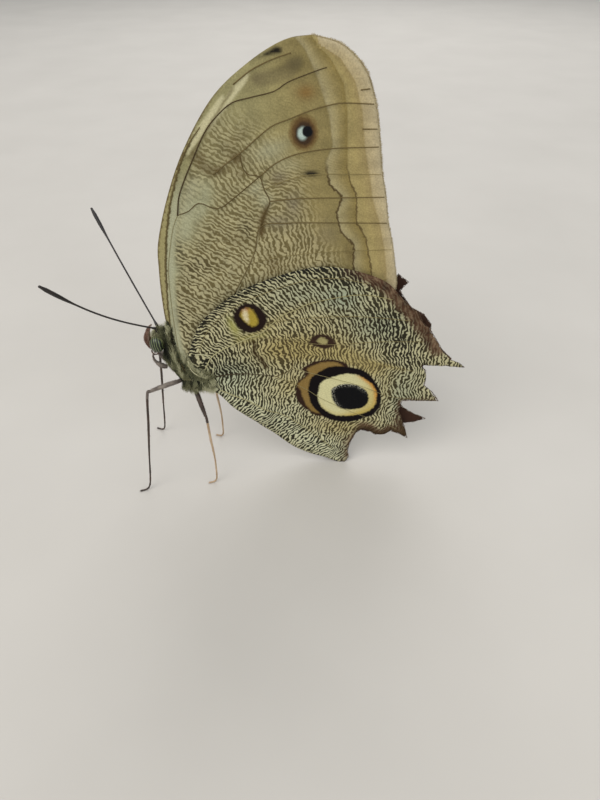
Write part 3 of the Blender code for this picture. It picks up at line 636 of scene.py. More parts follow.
def inner_scales():
    # The wings' upper faces, which lie shut against each other: clouded red brown scales, tan along the edge
    material, shader, place = new_material("inner_wing_scales_brown")
    cloud = add(material, "TexNoise", {"Vector": place, "Scale": 0.16, "Detail": 4.0})
    colour = ramp(add(material, "ValToRGB", {0: cloud}),
                  [(0.3, "#241711"), (0.5, "#38241A"), (0.75, "#513728")])
    colour = wash(material, colour, [("edge", "#8E7E5C")])
    scale_finish(material, shader, place, colour, cloud, 0.7)
    return material


def vein_wall(name, root_colour, tip_colour):
    """Tubular veins: hard cuticle with thin scales, paler or darker towards the wing's edge."""
    material, shader, place = new_material(name)
    run = add(material, "Attribute", attribute_name="run")
    reach = add(material, "MapRange", {0: run, 1: 5.0, 2: 60.0})
    colour = add(material, "Mix", {0: reach, 6: root_colour, 7: tip_colour}, data_type="RGBA")
    scale_finish(material, shader, place, colour, reach, 0.6)
    return material


# Wings

SHEET_STEP = 0.42
SHEET_THICK = 0.26
VEIN_SWELL = 0.1
CELL_DOME = 0.16
# Each look's radius at the vein's stem and at its tip, and its colours there
VEIN_LOOKS = {
    "dark": (0.15, 0.08, "#3A3020", "#4A3C26"), "brown": (0.12, 0.09, "#665A3A", "#665736"),
    "faint": (0.07, 0.05, "#7E7450", "#84764C"), "pale": (0.14, 0.06, "#A9A37C", "#8E8456"),
    "cross": (0.1, 0.1, "#4E4127", "#5A4B2C"), "loop": (0.16, 0.12, "#B5B08E", "#B5B08E"),
    "fine": (0.06, 0.05, "#A09468", "#7F7450")}


def ring_point(ring, along):
    """The places on a closed ring at these distances along it."""
    pts = np.array([tuple(p)[:2] for p in ring], float)
    run = np.concatenate([[0.0], np.cumsum(np.hypot(*np.diff(pts, axis=0).T))])
    return np.stack([np.interp(along, run, pts[:, k]) for k in (0, 1)], axis=1)


def wing_sheet(ring, surface, side):
    """A grid cut to the outline, its edge drawn onto the outline, bent to the wing's surface."""
    closed = list(ring) + [ring[0]]
    pts = np.array([tuple(p) for p in ring])
    low, high = pts.min(0) - SHEET_STEP, pts.max(0) + SHEET_STEP
    middle, span = (low + high) / 2, high - low
    work = bmesh.new()
    columns, rows = (round(side_length / SHEET_STEP) for side_length in span)
    bmesh.ops.create_grid(work, x_segments=columns, y_segments=rows, size=0.5)
    wide = max(v.co.x for v in work.verts) * 2
    place = (Matrix.Translation((middle[0], 0, middle[1])) @ Matrix.Rotation(math.pi / 2, 4, "X")
             @ Matrix.Diagonal((span[0] / wide, span[1] / wide, 1, 1)))
    bmesh.ops.transform(work, matrix=place, verts=work.verts[:])
    places = np.array([(v.co.x, v.co.z) for v in work.verts])
    keep = inside(places, ring)
    near = ~keep
    keep[near] = line_distance(places[near], closed)[0] < 0.5 * SHEET_STEP
    bmesh.ops.delete(work, geom=[v for v, k in zip(work.verts[:], keep) if not k], context="VERTS")
    loose = [v for v in work.verts if not v.link_faces]
    bmesh.ops.delete(work, geom=loose, context="VERTS")
    rim = [v for v in work.verts if v.is_boundary]
    spots = np.array([(v.co.x, v.co.z) for v in rim])
    for v, (x, z) in zip(rim, ring_point(closed, line_distance(spots, closed)[2])):
        v.co.x, v.co.z = x, z
    bmesh.ops.remove_doubles(work, verts=work.verts[:], dist=0.05)
    bmesh.ops.dissolve_degenerate(work, edges=work.edges[:], dist=0.02)
    pinched = [f for f in work.faces if f.calc_area() < 1e-4]
    bmesh.ops.delete(work, geom=pinched, context="FACES")
    places = np.array([(v.co.x, v.co.z) for v in work.verts])
    for v, y in zip(work.verts, surface(places)):
        v.co.y = side * y
    if side == RIGHT:
        bmesh.ops.reverse_faces(work, faces=work.faces[:])
    return work


def flow(places, guides):
    """How far out each place lies, measured the way the guide lines run, so that ripples cross them."""
    total, weight = np.zeros(len(places)), np.zeros(len(places))
    for run, points in guides:
        line = smooth_path(points, 2.2)
        for a, b in zip(line, line[1:]):
            ahead = (b - a).normalized()
            dx, dz = places[:, 0] - a.x, places[:, 1] - a.y
            share = 1.0 / (dx * dx + dz * dz + 3.0) ** 1.6
            total += share * (run + dx * ahead.x + dz * ahead.y)
            weight += share
            run += (b - a).length
    return total / weight


def dorsal_and_ventral(work, side):
    """Gives the sheet its thickness and the inner face its own material."""
    bmesh.ops.solidify(work, geom=work.faces[:], thickness=SHEET_THICK)
    bmesh.ops.recalc_face_normals(work, faces=work.faces[:])
    for face in work.faces:
        face.material_index = 1 if face.normal.y * side < -0.3 else 0


def add_ribs(work, veins, surface, side, looks):
    """Each vein as a thin tube half sunk in the wing's outer face."""
    for look, points in veins:
        line = smooth_path(points, 0.9)
        places = np.array([tuple(p) for p in line])
        rise = surface(places)
        thick, thin = VEIN_LOOKS[look][:2]
        path = [Vector((p.x, side * (y + 0.02), p.y)) for p, y in zip(line, rise)]
        radii = [thick + (thin - thick) * i / (len(path) - 1) for i in range(len(path))]
        fresh = loft(tube_sections(path, radii), 6)
        for face in fresh.faces:
            face.material_index = 2 + looks.index(look)
        scrap = bpy.data.meshes.new("rib")
        fresh.to_mesh(scrap)
        fresh.free()
        work.from_mesh(scrap)
        bpy.data.meshes.remove(scrap)


def turned(points, angle, pivot):
    c, s = math.cos(angle), math.sin(angle)
    px, pz = pivot
    return [(px + (x - px) * c - (z - pz) * s, pz + (x - px) * s + (z - pz) * c) for x, z in points]


def wing_map(mesh):
    """A flat map of the wing for the export: outer face on one half, inner face on the other."""
    layer = mesh.uv_layers.new(name="OFBake")
    co = np.zeros(len(mesh.vertices) * 3)
    mesh.vertices.foreach_get("co", co)
    co = co.reshape(-1, 3) / MM
    loops = np.zeros(len(mesh.loops), int)
    mesh.loops.foreach_get("vertex_index", loops)
    low, span = co.min(0), np.ptp(co, axis=0)
    reach = max(span[0] * 2.08, span[2]) * 1.02
    u, v = (co[:, 0] - low[0]) / reach, (co[:, 2] - low[2]) / reach
    back = np.zeros(len(mesh.loops), bool)
    for face in mesh.polygons:
        if face.material_index == 1:
            back[face.loop_start:face.loop_start + face.loop_total] = True
    shift = (span[0] * 1.04) / reach
    flat = np.stack([u[loops] + np.where(back, shift, 0.0) + 0.005, v[loops] + 0.005], axis=1)
    layer.data.foreach_set("uv", flat.ravel().astype(np.float32))


def make_wing(name, ring, veins, height, side, values, materials, node, slot):
    lines = [smooth_path(points, 1.2) for _, points in veins]

    def surface(places):
        away = np.full(len(places), 1e9)
        for line in lines:
            away = np.minimum(away, line_distance(places, line)[0])
        dome = CELL_DOME * (1 - np.exp(-(away / 2.6) ** 2))
        return height(places) + SHEET_THICK / 2 + dome + VEIN_SWELL * np.exp(-(away / 0.4) ** 2)

    work = wing_sheet(ring, surface, side)
    dorsal_and_ventral(work, side)
    looks = sorted({look for look, _ in veins})
    add_ribs(work, veins, surface, side, looks)
    places = np.array([(v.co.x, v.co.z) for v in work.verts])
    piece = finish_piece(name, work, materials[:2] + [materials[2][look] for look in looks], [node])
    if slot == "hindwing":
        beside = np.full(len(places), 3.5)
        for line in lines:
            beside = np.minimum(beside, line_distance(places, line)[0])
        beside *= 0.36 * (1 - smoothstep(-9.0, -3.0, places[:, 0]) * smoothstep(40.5, 44.5, places[:, 1]))
        run = np.hypot(places[:, 0] - HIND_RIPPLE_CENTRE[0], places[:, 1] - HIND_RIPPLE_CENTRE[1]) + beside
    else:
        above = line_distance(places, MID_VEIN)[1] > 0
        run = np.where(above, flow(places, FORE_GUIDES), flow(places, LOW_GUIDES))
    put_values(piece.data, "run", run)
    limits = {"zone": (-1.0, 3.0)} | {key: (-RING_REACH, RING_REACH) for key in (*HIND_RINGS, *DISTANCES)}
    for key, numbers in values(places, ring).items():
        put_values(piece.data, key, np.clip(numbers, *limits.get(key, (0.0, 1.0))))
    wing_map(piece.data)


FORE_LINE_IN = [
    (3.4, 106.0), (5.7, 103.5), (7.9, 99.0), (10.2, 92.8), (11.1, 87.1), (9.8, 84.0), (10.6, 79.7),
    (13.4, 77.0), (12.3, 73.5), (13.4, 69.5), (16.4, 66.4), (16.4, 62.9), (17.0, 52.0)]
FORE_LINE_OUT = [
    (6.4, 106.0), (10.2, 102.2), (12.7, 98.2), (13.6, 93.4), (13.9, 87.1), (14.1, 82.7), (14.9, 80.1),
    (16.3, 77.0), (16.6, 71.7), (18.8, 68.0), (20.5, 60.9), (21.2, 52.0)]
FORE_BAND_EDGE = [
    (7.8, 107.0), (7.9, 104.2), (11.9, 102.2), (14.8, 98.5), (16.5, 93.4), (17.4, 87.1), (18.8, 81.4),
    (19.7, 76.7), (21.7, 71.3), (23.3, 64.9), (24.1, 60.1), (24.6, 52.0)]
FORE_RIPPLE_LIMIT = [
    (-16.0, 96.0), (-9.0, 93.0), (-4.0, 90.5), (0.1, 88.0), (1.0, 85.3), (4.6, 84.0), (6.5, 80.4),
    (7.2, 75.3), (10.2, 68.0), (15.4, 64.1), (17.5, 60.0), (18.0, 50.0)]
FORE_STRIP_EDGE = [
    (-23.3, 35.0), (-24.6, 38.9), (-25.6, 41.8), (-26.1, 46.0), (-26.0, 50.8), (-25.6, 56.0), (-25.1, 61.0),
    (-24.0, 68.0), (-22.2, 75.3), (-21.0, 78.7), (-19.7, 82.0), (-18.0, 85.6), (-16.6, 87.8), (-14.4, 90.5)]
# Crisp marks of the forewing: pale wedges beside the leading edge, the dark spot and clouds at the tip
CREAM_WEDGES = [
    [(-17.5, 85.3), (-16.0, 86.7), (-14.2, 88.8), (-12.2, 91.7), (-10.6, 93.8), (-9.4, 95.8), (-10.1, 95.8),
        (-12.0, 93.7), (-14.0, 91.4), (-15.9, 88.7)],
    [(-13.0, 89.6), (-11.1, 91.8), (-9.0, 94.1), (-7.0, 96.3), (-5.2, 98.3), (-4.6, 99.7), (-5.6, 99.1),
        (-7.6, 97.4), (-9.6, 95.1), (-11.5, 92.5)]]
TIP_SPOT = [(-1.9, 102.5), (-0.7, 103.3), (0.6, 103.9), (1.6, 103.4), (1.3, 103.0), (-0.1, 102.8)]
TIP_CLOUD = [
    (-4.0, 99.1), (-1.4, 100.1), (1.6, 100.9), (2.5, 101.9), (4.7, 102.2), (5.0, 101.1), (4.0, 99.9),
    (3.1, 98.9), (0.3, 98.0), (-2.1, 97.6), (-3.3, 97.9)]
BROWN_CLOUD = [
    (-18.0, 85.3), (-16.1, 85.9), (-14.2, 85.6), (-13.6, 83.7), (-10.9, 82.4), (-13.0, 81.1), (-14.9, 82.4),
    (-16.4, 84.0)]
# The forewing's values that are distances from a line in mm; past_ ones have a sign for its side
DISTANCES = ("past_in", "past_out", "past_strip", "from_costa")
# The hindwing's eyespots and their rings
HALO = [
    (3.6, 26.3), (3.8, 28.5), (4.7, 29.9), (5.8, 30.9), (5.9, 32.2), (5.1, 33.1), (6.3, 34.2), (8.0, 35.3),
    (10.3, 35.9), (13.1, 36.1), (15.1, 35.5), (17.1, 33.8), (19.3, 30.7), (17.9, 25.5), (13.2, 17.8),
    (10.3, 17.4), (8.5, 18.0), (6.8, 19.5), (5.3, 20.9), (4.2, 22.5), (3.7, 24.1)]
GOLD = [
    (4.1, 28.0), (5.0, 29.4), (6.4, 30.7), (7.0, 31.9), (6.4, 33.1), (8.2, 34.3), (10.4, 35.2),
    (13.0, 35.3), (14.6, 34.8), (15.9, 33.5), (17.6, 30.7), (15.5, 25.5), (11.5, 18.9), (9.7, 18.5),
    (8.1, 19.1), (6.8, 20.6), (5.9, 22.5), (5.2, 24.7), (4.9, 26.3)]
GREAT_RING = [
    (6.8, 26.0), (7.0, 28.1), (7.3, 29.6), (8.2, 31.1), (9.7, 32.3), (11.3, 33.5), (13.1, 34.0),
    (15.2, 34.0), (17.3, 33.6), (19.5, 33.2), (21.4, 32.2), (23.0, 30.5), (24.3, 28.4), (25.4, 26.0),
    (25.9, 23.9), (25.9, 21.4), (25.2, 19.2), (23.8, 17.5), (21.6, 16.6), (19.7, 15.7), (17.5, 15.4),
    (14.9, 15.6), (12.9, 16.2), (10.9, 17.6), (9.0, 19.6), (7.6, 21.8), (7.1, 23.9)]
CREAM_RING = [
    (9.6, 26.6), (9.8, 28.3), (10.9, 29.5), (12.7, 30.4), (14.4, 31.1), (16.1, 31.6), (17.8, 31.6),
    (19.6, 31.1), (21.3, 30.0), (22.9, 28.6), (24.0, 27.0), (24.6, 25.3), (24.7, 23.3), (24.4, 21.2),
    (23.3, 19.5), (21.8, 18.5), (19.7, 17.8), (17.3, 17.5), (14.9, 17.6), (13.1, 18.3), (11.4, 19.5),
    (10.2, 21.1), (9.5, 23.0), (9.3, 24.6)]
PUPIL = [
    (12.8, 26.0), (13.4, 27.3), (15.0, 28.1), (16.8, 28.3), (18.9, 28.1), (20.5, 27.2), (21.8, 26.0),
    (22.5, 24.5), (22.6, 22.7), (21.9, 21.1), (20.7, 20.2), (18.9, 19.7), (16.7, 19.8), (15.0, 20.4),
    (13.9, 21.8), (13.1, 23.6)]
UPPER_RING = [
    (-10.9, 48.7), (-10.3, 50.7), (-8.9, 52.1), (-7.4, 52.5), (-5.5, 52.2), (-4.1, 51.1), (-3.3, 49.5),
    (-3.0, 48.0), (-3.5, 46.5), (-4.5, 45.3), (-5.9, 44.7), (-7.4, 44.5), (-8.9, 45.2), (-10.2, 46.5)]
UPPER_GOLD = [
    (-9.2, 49.6), (-8.6, 50.9), (-7.5, 51.4), (-6.4, 50.9), (-5.7, 49.8), (-5.2, 48.3), (-5.3, 47.2),
    (-5.8, 46.5), (-6.7, 46.4), (-7.5, 47.0), (-8.5, 48.1)]
UPPER_STREAK = [(-8.1, 51.0), (-8.6, 49.9), (-8.3, 48.5), (-7.5, 47.4), (-7.4, 48.6), (-7.6, 50.0)]
SMALL_RING = [
    (7.0, 41.4), (7.8, 43.1), (9.5, 43.9), (11.4, 43.4), (12.9, 42.0), (13.3, 40.6), (12.3, 39.7),
    (10.4, 39.4), (8.3, 40.1)]
SMALL_CENTRE = [(8.8, 41.8), (9.7, 42.8), (10.9, 42.4), (11.4, 41.5), (10.9, 40.7), (9.6, 40.9)]
HIND_RINGS = {"halo": HALO, "gold": GOLD, "great_ring": GREAT_RING, "cream_ring": CREAM_RING, "pupil": PUPIL,
              "upper_ring": UPPER_RING, "upper_gold": UPPER_GOLD, "upper_streak": UPPER_STREAK,
              "small_ring": SMALL_RING, "small_centre": SMALL_CENTRE}


# Soft spots of each marking: x, z, half width, half height, strength and, where it leans, degrees
FORE_BLOTS = {
    "green": [(-19.0, 70.5, 2.6, 5.0, 1.0, -15), (-14.5, 78.0, 2.0, 3.0, 1.0), (-16.5, 74.5, 2.2, 2.2, 1.0),
        (-23.3, 60.5, 1.6, 2.4, 1.0)],
    "green_pale": [(-4.3, 78.9, 1.8, 1.0, 0.45, 30), (-2.6, 76.5, 1.5, 1.6, 0.5),
        (2.0, 83.5, 3.0, 1.5, 0.25), (-1.0, 86.3, 3.6, 1.7, 0.45, 20)],
    "brown": [(-20.9, 80.9, 1.2, 1.6, 0.7), (-10.6, 82.5, 1.5, 1.2, 0.45), (-7.8, 84.8, 1.4, 1.4, 0.9),
        (-7.2, 81.6, 1.2, 0.8, 0.4), (0.6, 79.9, 1.4, 1.0, 0.45), (-1.0, 61.5, 1.8, 2.4, 0.4),
        (15.6, 64.6, 1.2, 2.6, 0.5, 20), (-9.0, 68.0, 2.0, 2.0, 0.25), (-8.0, 88.0, 3.4, 1.0, 0.25, 35)],
    "dark_mark": [(-2.9, 102.3, 1.3, 0.3, 0.6, 25), (6.9, 81.8, 1.5, 0.55, 1.2)],
    "black": [(-20.0, 74.0, 0.6, 3.2, 0.6, -20), (-22.3, 64.6, 1.8, 3.5, 0.9),
        (-21.6, 66.2, 2.2, 1.4, 0.6, -35), (-6.7, 70.5, 1.6, 2.0, 0.8), (-16.7, 62.1, 3.0, 1.6, 0.5, -30),
        (-23.1, 48.8, 1.2, 2.6, 0.8), (-19.0, 60.0, 2.5, 3.0, 0.6), (-15.5, 80.0, 3.0, 2.5, 0.5)],
    "olive": [(3.8, 101.2, 1.7, 1.2, 1.2, 25), (0.8, 100.4, 2.0, 0.7, 0.5, 20)],
    "grey_brown": [(-3.6, 99.0, 2.2, 1.1, 0.4, 20)],
    "rust_blotch": [(5.8, 96.6, 1.7, 1.2, 0.8)],
    "grey": [(0.6, 81.0, 1.6, 1.4, 0.5), (3.3, 75.6, 1.6, 2.2, 0.6), (0.2, 71.6, 3.4, 1.8, 0.45),
        (10.5, 69.0, 2.5, 3.0, 0.3)]}
HIND_BLOTS = {
    "yellow": [(10.5, 40.5, 9.0, 4.5, 0.85, 8), (22.0, 33.6, 5.5, 2.6, 1.0, -25),
        (14.0, 37.6, 8.0, 2.2, 0.7), (0.0, 39.5, 7.0, 5.0, 0.9), (4.0, 27.5, 4.5, 4.0, 0.75),
        (15.0, 13.5, 9.0, 3.2, 0.7), (27.0, 26.0, 1.8, 5.0, 0.6), (10.0, 48.5, 7.0, 2.0, 0.3, 10)],
    "green": [(5.0, 55.0, 9.0, 4.5, 0.6), (-13.0, 31.5, 7.0, 5.0, 0.9), (31.0, 25.0, 5.0, 9.0, 0.6),
        (23.0, 46.0, 8.0, 5.0, 0.75), (15.0, 54.0, 5.0, 4.0, 0.8)],
    "black": [(27.0, 45.5, 6.0, 7.0, 0.75, 20), (15.0, 58.2, 9.0, 1.8, 0.7, -5),
        (-15.0, 37.0, 5.0, 4.5, 0.55), (-12.0, 33.5, 6.0, 3.0, 0.45), (31.5, 37.0, 4.5, 4.5, 0.6),
        (31.0, 20.0, 3.0, 4.0, 0.4), (-18.6, 37.6, 1.4, 1.2, 0.8), (-21.2, 36.2, 0.8, 1.2, 0.7),
        (-10.0, 25.5, 4.0, 3.0, 0.3), (-3.0, 20.5, 6.0, 3.0, -0.25, -35)],
    "bright": [(5.0, 24.0, 3.0, 8.0, 0.4, -30)],
    "rust": [(17.3, 6.0, 1.6, 5.0, 0.5)],
    "lime": [(-11.0, 46.2, 1.0, 2.6, 0.85, 20), (-6.5, 43.4, 3.5, 0.8, 0.4, 15)],
    "ring_gold": [(-8.2, 51.2, 1.2, 1.0, 1.0)]}


def side_distance(places, line):
    """Distance to a line, and the same with its sign by the side that each place is on."""
    away, side, _ = line_distance(places, line)
    return away, away * side


def forewing_values(places, _):
    """Where each marking of the forewing's outer face lies, as values from 0 to 1."""
    x, z = places[:, 0], places[:, 1]
    costa = line_distance(places, smooth_path(FORE_COSTA, 2.0))[0]
    rim = line_distance(places, smooth_path(FORE_OUTER, 2.0))[0]
    far_in, past_in = side_distance(places, FORE_LINE_IN)
    far_out, past_out = side_distance(places, FORE_LINE_OUT)
    far_band, past_band = side_distance(places, FORE_BAND_EDGE)
    zone = np.where(past_in < 0, past_in / 6.0, far_in / (far_in + far_out + 1e-6))
    zone = np.where(past_out > 0, 1.0 + far_out / (far_out + far_band + 1e-6), zone)
    zone = np.where(past_band > 0, 2.0 + far_band / (far_band + rim + 1e-6), zone)
    strip, from_strip = side_distance(places, FORE_STRIP_EDGE)
    behind = from_strip < 0
    past_strip = np.where(behind, strip, 0.0)
    lower = smoothstep(85.5, 80.0, z)
    spots = {key: blots(places, rows) for key, rows in FORE_BLOTS.items()}

    rippled = smoothstep(-4.0, 4.5, -side_distance(places, FORE_RIPPLE_LIMIT)[1])
    ripple = (rippled * (0.95 - 0.3 * smoothstep(62, 92, z)) * (1 - 0.75 * np.clip(spots["green"], 0, 1))
              * smoothstep(1.0, 2.6, past_strip))
    beside_strip = (smoothstep(0.0, 0.4, past_strip) * smoothstep(2.6, 1.2, past_strip)
                    * smoothstep(84.0, 74.0, z))
    second_band = (smoothstep(1.6, 3.0, past_strip) * smoothstep(5.5, 3.5, past_strip)
                   * smoothstep(66.0, 69.0, z) * smoothstep(82.0, 79.0, z))
    parting = streak(places, [(-16.5, 85.9), (-13.5, 89.3), (-11.4, 92.3), (-9.6, 94.7), (-7.6, 97.1)], 0.32)
    wedges = sum(smoothstep(-0.3, 0.25, ring_depth(places, wedge)) for wedge in CREAM_WEDGES)
    cream_line = streak(places, [(-25.3, 58.1), (-26.1, 50.8), (-26.2, 45.8), (-25.6, 41.8), (-24.6, 38.9),
                                 (-23.5, 36.4)], 0.28)
    brown_lines = (streak(places, [(-24.5, 50.0), (-25.0, 44.0), (-23.6, 38.9), (-22.6, 35.5)], 0.6)
                   + streak(places, [(-27.2, 45.0), (-26.4, 41.0), (-25.0, 37.5), (-23.8, 34.0)], 0.6))
    spots["green_pale"] += behind * (0.8 * beside_strip + 0.4 * second_band)
    spots["brown"] += (0.5 * smoothstep(-0.7, 0.5, ring_depth(places, BROWN_CLOUD)) + 0.55 * parting
                       + streak(places, [(-2.0, 75.3), (-3.2, 72.0), (-3.6, 69.0)], 0.7) + 0.8 * brown_lines)
    spots["dark_mark"] += smoothstep(-0.35, 0.3, ring_depth(places, TIP_SPOT))
    spots["black"] += 0.35 * smoothstep(60.0, 50.0, z) + 0.35 * smoothstep(50.0, 42.0, z)
    spots["grey_brown"] += 0.5 * smoothstep(-0.5, 0.5, ring_depth(places, TIP_CLOUD))
    spots["green"] = 0.9 * spots["green"] + 0.25 * smoothstep(70.0, 45.0, z)
    return spots | {
        "zone": zone, "ripple": ripple, "past_in": past_in, "past_out": past_out, "past_strip": from_strip,
        "from_costa": costa, "in_shown": 0.12 + 0.8 * lower, "out_shown": 0.08 + 0.75 * lower,
        "strip_shown": 0.85 * smoothstep(93.0, 86.0, z) * smoothstep(38.0, 44.0, z),
        "costa_shown": 0.8 * smoothstep(104.0, 90.0, z),
        "costal": 0.9 * smoothstep(0.25, -0.25, -from_strip) * smoothstep(91.0, 84.0, z),
        "cream": wedges * (1 - 0.85 * parting) + 0.6 * cream_line, "warm": smoothstep(-12.0, 10.0, x),
        "edge": smoothstep(2.6, 0.8, rim) * smoothstep(48.0, 56.0, z)}


def hindwing_values(places, ring):
    """Where each marking of the hindwing's outer face lies, and the painted shade along its costal edge over
    the forewing: depths in mm for the rings, else from 0 to 1.
    """
    x, z = places[:, 0], places[:, 1]
    costa = line_distance(places, smooth_path(HIND_COSTA, 2.0))[0]
    rim = line_distance(places, [p for p in ring if p[0] > 17.0])[0]
    spots = {key: blots(places, rows) for key, rows in HIND_BLOTS.items()}
    rings = {name: ring_depth(places, points) for name, points in HIND_RINGS.items()}
    near_edge = smoothstep(1.1, 0.2, rings["cream_ring"])

    spots["yellow"] += (
        0.5 * streak(places, [(-9.9, 41.9), (-7.1, 43.3), (-2.6, 46.7), (4.0, 51.0), (7.7, 52.8)], 1.4)
        + 0.7 * streak(places, [(15.8, 35.3), (23.0, 34.8), (27.5, 33.8), (30.7, 32.8)], 0.8))
    # painted shade: the ripples go darker along the costal edge, only where the hindwing lies over the
    # forewing, fading out where the forewing ends
    spots["black"] += 0.95 * smoothstep(2.4, 0.2, costa) * smoothstep(26.0, 14.0, x)
    spots["bright"] += 0.85 * streak(places, [(-14.0, 26.5), (-4.0, 17.5), (6.0, 9.0), (16.0, 3.0)], 4.5)
    # the worn rim: broad along the upper edge, narrower down the lower margin
    upper_rim = line_distance(places, [(13.0, 62.0), (19.5, 60.8), (24.7, 57.6), (29.3, 52.4), (33.1, 48.0),
                                       (36.0, 44.0), (38.5, 40.0)])[0]
    for worn in (smoothstep(3.6, 1.4, upper_rim) * smoothstep(12.0, 20.0, x),
                 0.75 * smoothstep(1.5, 0.3, rim) * smoothstep(26.0, 22.0, z),
                 0.95 * smoothstep(3.0, 1.2, rim) * smoothstep(18.5, 21.5, x) * smoothstep(18.0, 14.5, z),
                 0.6 * smoothstep(2.0, 0.4, rim) * smoothstep(16.0, 14.0, z)):
        spots["rust"] = np.maximum(spots["rust"], worn)
    spots["ring_gold"] += (
        0.75 * smoothstep(16.0, 25.0, x - 0.5 * (z - 25.0))
        + 0.4 * smoothstep(1.5, 0.1, rings["cream_ring"]) * smoothstep(25.0, 19.0, z))
    dashes = (streak(places, [(-6.7, 42.2), (-6.1, 40.8), (-6.6, 38.9), (-5.7, 37.4)], 0.5)
              + streak(places, [(-4.9, 36.6), (-4.5, 35.2), (-3.7, 33.8)], 0.6)
              + 0.75 * smoothstep(1.8, 0.4, rim) * smoothstep(18.5, 21.0, x) * smoothstep(17.5, 14.5, z))
    upper_left = smoothstep(-4.5, 0.5, (z - 25.0) - 0.75 * (x - 17.5))
    return rings | spots | {
        "brown": dashes, "ripple": 0.97 - 0.3 * blot(places, 21.0, 35.0, 5.0, 2.5, -20) - 0.4 * spots["lime"],
        "ring_orange": 0.9 * near_edge * smoothstep(18.0, 21.5, x) * smoothstep(20.5, 25.0, z),
        "dusted": np.exp(-((rings["pupil"] - 0.3) / 0.45) ** 2) * upper_left, "edge": np.zeros(len(places))}


def frayed(margin, side):
    """The worn margin with small nicks between its teeth."""
    rng = np.random.default_rng(20 + side)
    line = even(margin, 0.5)
    out = []
    for before, p, after in zip(line, line[1:], line[2:]):
        ahead = (after - before).normalized()
        out.append(p + Vector((ahead.y, -ahead.x)) * rng.uniform(-0.05, 0.3))
    return line[:1] + out


def make_wings():
    inner = inner_scales()
    looks = {look: vein_wall("vein_wall_" + look, *row[2:]) for look, row in VEIN_LOOKS.items()}
    fore, hind = [forewing_scales(), inner, looks], [hindwing_scales(), inner, looks]
    fore_ring = [p for part in (FORE_COSTA, FORE_OUTER, FORE_DORSUM) for p in smooth_path(part, 0.5)[:-1]]
    pivot = FORE_COSTA[0]
    make_wing("forewing_left_sheet", fore_ring, FORE_VEINS, wing_rise, LEFT, forewing_values, fore,
              "forewing_left", "wing")
    right_ring = [Vector(p) for p in turned([tuple(p) for p in fore_ring], RIGHT_FOREWING_TURN, pivot)]
    right_veins = [(look, turned(points, RIGHT_FOREWING_TURN, pivot)) for look, points in FORE_VEINS]
    make_wing("forewing_right_sheet", right_ring, right_veins, wing_rise, RIGHT, forewing_values,
              fore, "forewing_right", "wing")
    for side, word in SIDES:
        margin = HIND_WORN_MARGIN if side == LEFT else HIND_TOOTHED_MARGIN
        costa = HIND_COSTA if side == LEFT else HIND_COSTA[:-1] + [margin[0]]
        ring = (smooth_path(costa, 0.5)[:-1] + frayed(margin, side) + even(HIND_FOOT, 0.5)[:-1]
                + smooth_path(HIND_INNER, 0.5)[:-1])
        make_wing("hindwing_" + word + "_sheet", ring, HIND_VEINS, hind_height, side,
                  hindwing_values, hind, "hindwing_" + word, "hindwing")


make_wings()


# Coats of hair and hair scales

# A tuft's rings, by share of its length and of its width; its shade, darker at the root; its faces
TUFT_RINGS = ((0.0, 1.0), (0.38, 0.85), (0.74, 0.5))
TUFT_SHADE = (-0.14,) * 3 + (0.0,) * 3 + (0.05,) * 3 + (0.1,)
TUFT_FACES = ([(0, 1, 2)]
              + [(a + i, a + i + 3, a + (i + 1) % 3 + 3, a + (i + 1) % 3) for a in (0, 3) for i in range(3)]
              + [(6, 9, 7), (7, 9, 8), (8, 9, 6)])
# Each tuft's patch on the export's map, as a share of the map
BAKE_PATCH = 0.003
# A lofted skin's map: free edge, and the shares that its length and its girth take up
MAP_EDGE, MAP_LONG, MAP_ROUND = 0.01, 0.97, 0.96


def unit(vectors):
    return vectors / np.maximum(np.linalg.norm(vectors, axis=1), 1e-9)[:, None]


def tuft_coat(name, roots, normals, lies, lengths, widths, lifts, places, tones, material, slot, rng,
              clear=None):
    """A coat as one joined mesh: each tuft is a thin three-sided blade that leaves the skin at its lift and
    bends over along its lie. Every tuft has its own small patch on the export's map, at its root's place."""
    count = len(roots)
    lies = unit(lies - normals * np.sum(lies * normals, axis=1)[:, None])
    across = np.cross(normals, lies)
    sway = across * rng.normal(0, 0.12, count)[:, None]

    def midline(t):
        return (roots - normals * 0.04 + (lies + sway * t) * (lengths * t)[:, None]
                + normals * (lengths * lifts * t * (1 - 0.35 * t))[:, None])

    rings, marks = [], []
    for t, broad in TUFT_RINGS:
        wide, deep = across * (widths * broad)[:, None], normals * (widths * broad * 0.55)[:, None]
        rings += [midline(t) + wide, midline(t) - wide, midline(t) + deep]
        marks += [(t - 0.5, 0.4), (t - 0.5, -0.4), (t - 0.5, 0.0)]
    points = np.stack(rings + [midline(1.0)], axis=1)
    marks = np.array(marks + [(0.5, 0.0)])
    if clear is not None:
        points = clear(points.reshape(-1, 3)).reshape(points.shape)
    start = np.arange(count) * len(marks)
    faces = [tuple(f) for part in TUFT_FACES for f in (start[:, None] + np.array(part)[None, :]).tolist()]
    mesh = bpy.data.meshes.new(name)
    mesh.from_pydata((points.reshape(-1, 3) * MM).tolist(), [], faces)
    mesh.materials.append(material)
    mesh.shade_smooth()
    put_values(mesh, "tone", (np.asarray(tones)[:, None] + np.array(TUFT_SHADE)[None, :]).ravel())
    flat = (places[:, None, :] + marks[None, :, :] * BAKE_PATCH).reshape(-1, 2)
    loops = np.zeros(len(mesh.loops), int)
    mesh.loops.foreach_get("vertex_index", loops)
    mesh.uv_layers.new(name="OFBake").data.foreach_set("uv", flat[loops].ravel().astype(np.float32))
    dress(name, mesh)


def clumps(points, size, rng):
    """One random number for each tuft, shared by the tufts of the same small clump."""
    _, clump = np.unique(np.floor(points / size + rng.random(3)), axis=0, return_inverse=True)
    return rng.random(clump.max() + 1)[clump.ravel()]


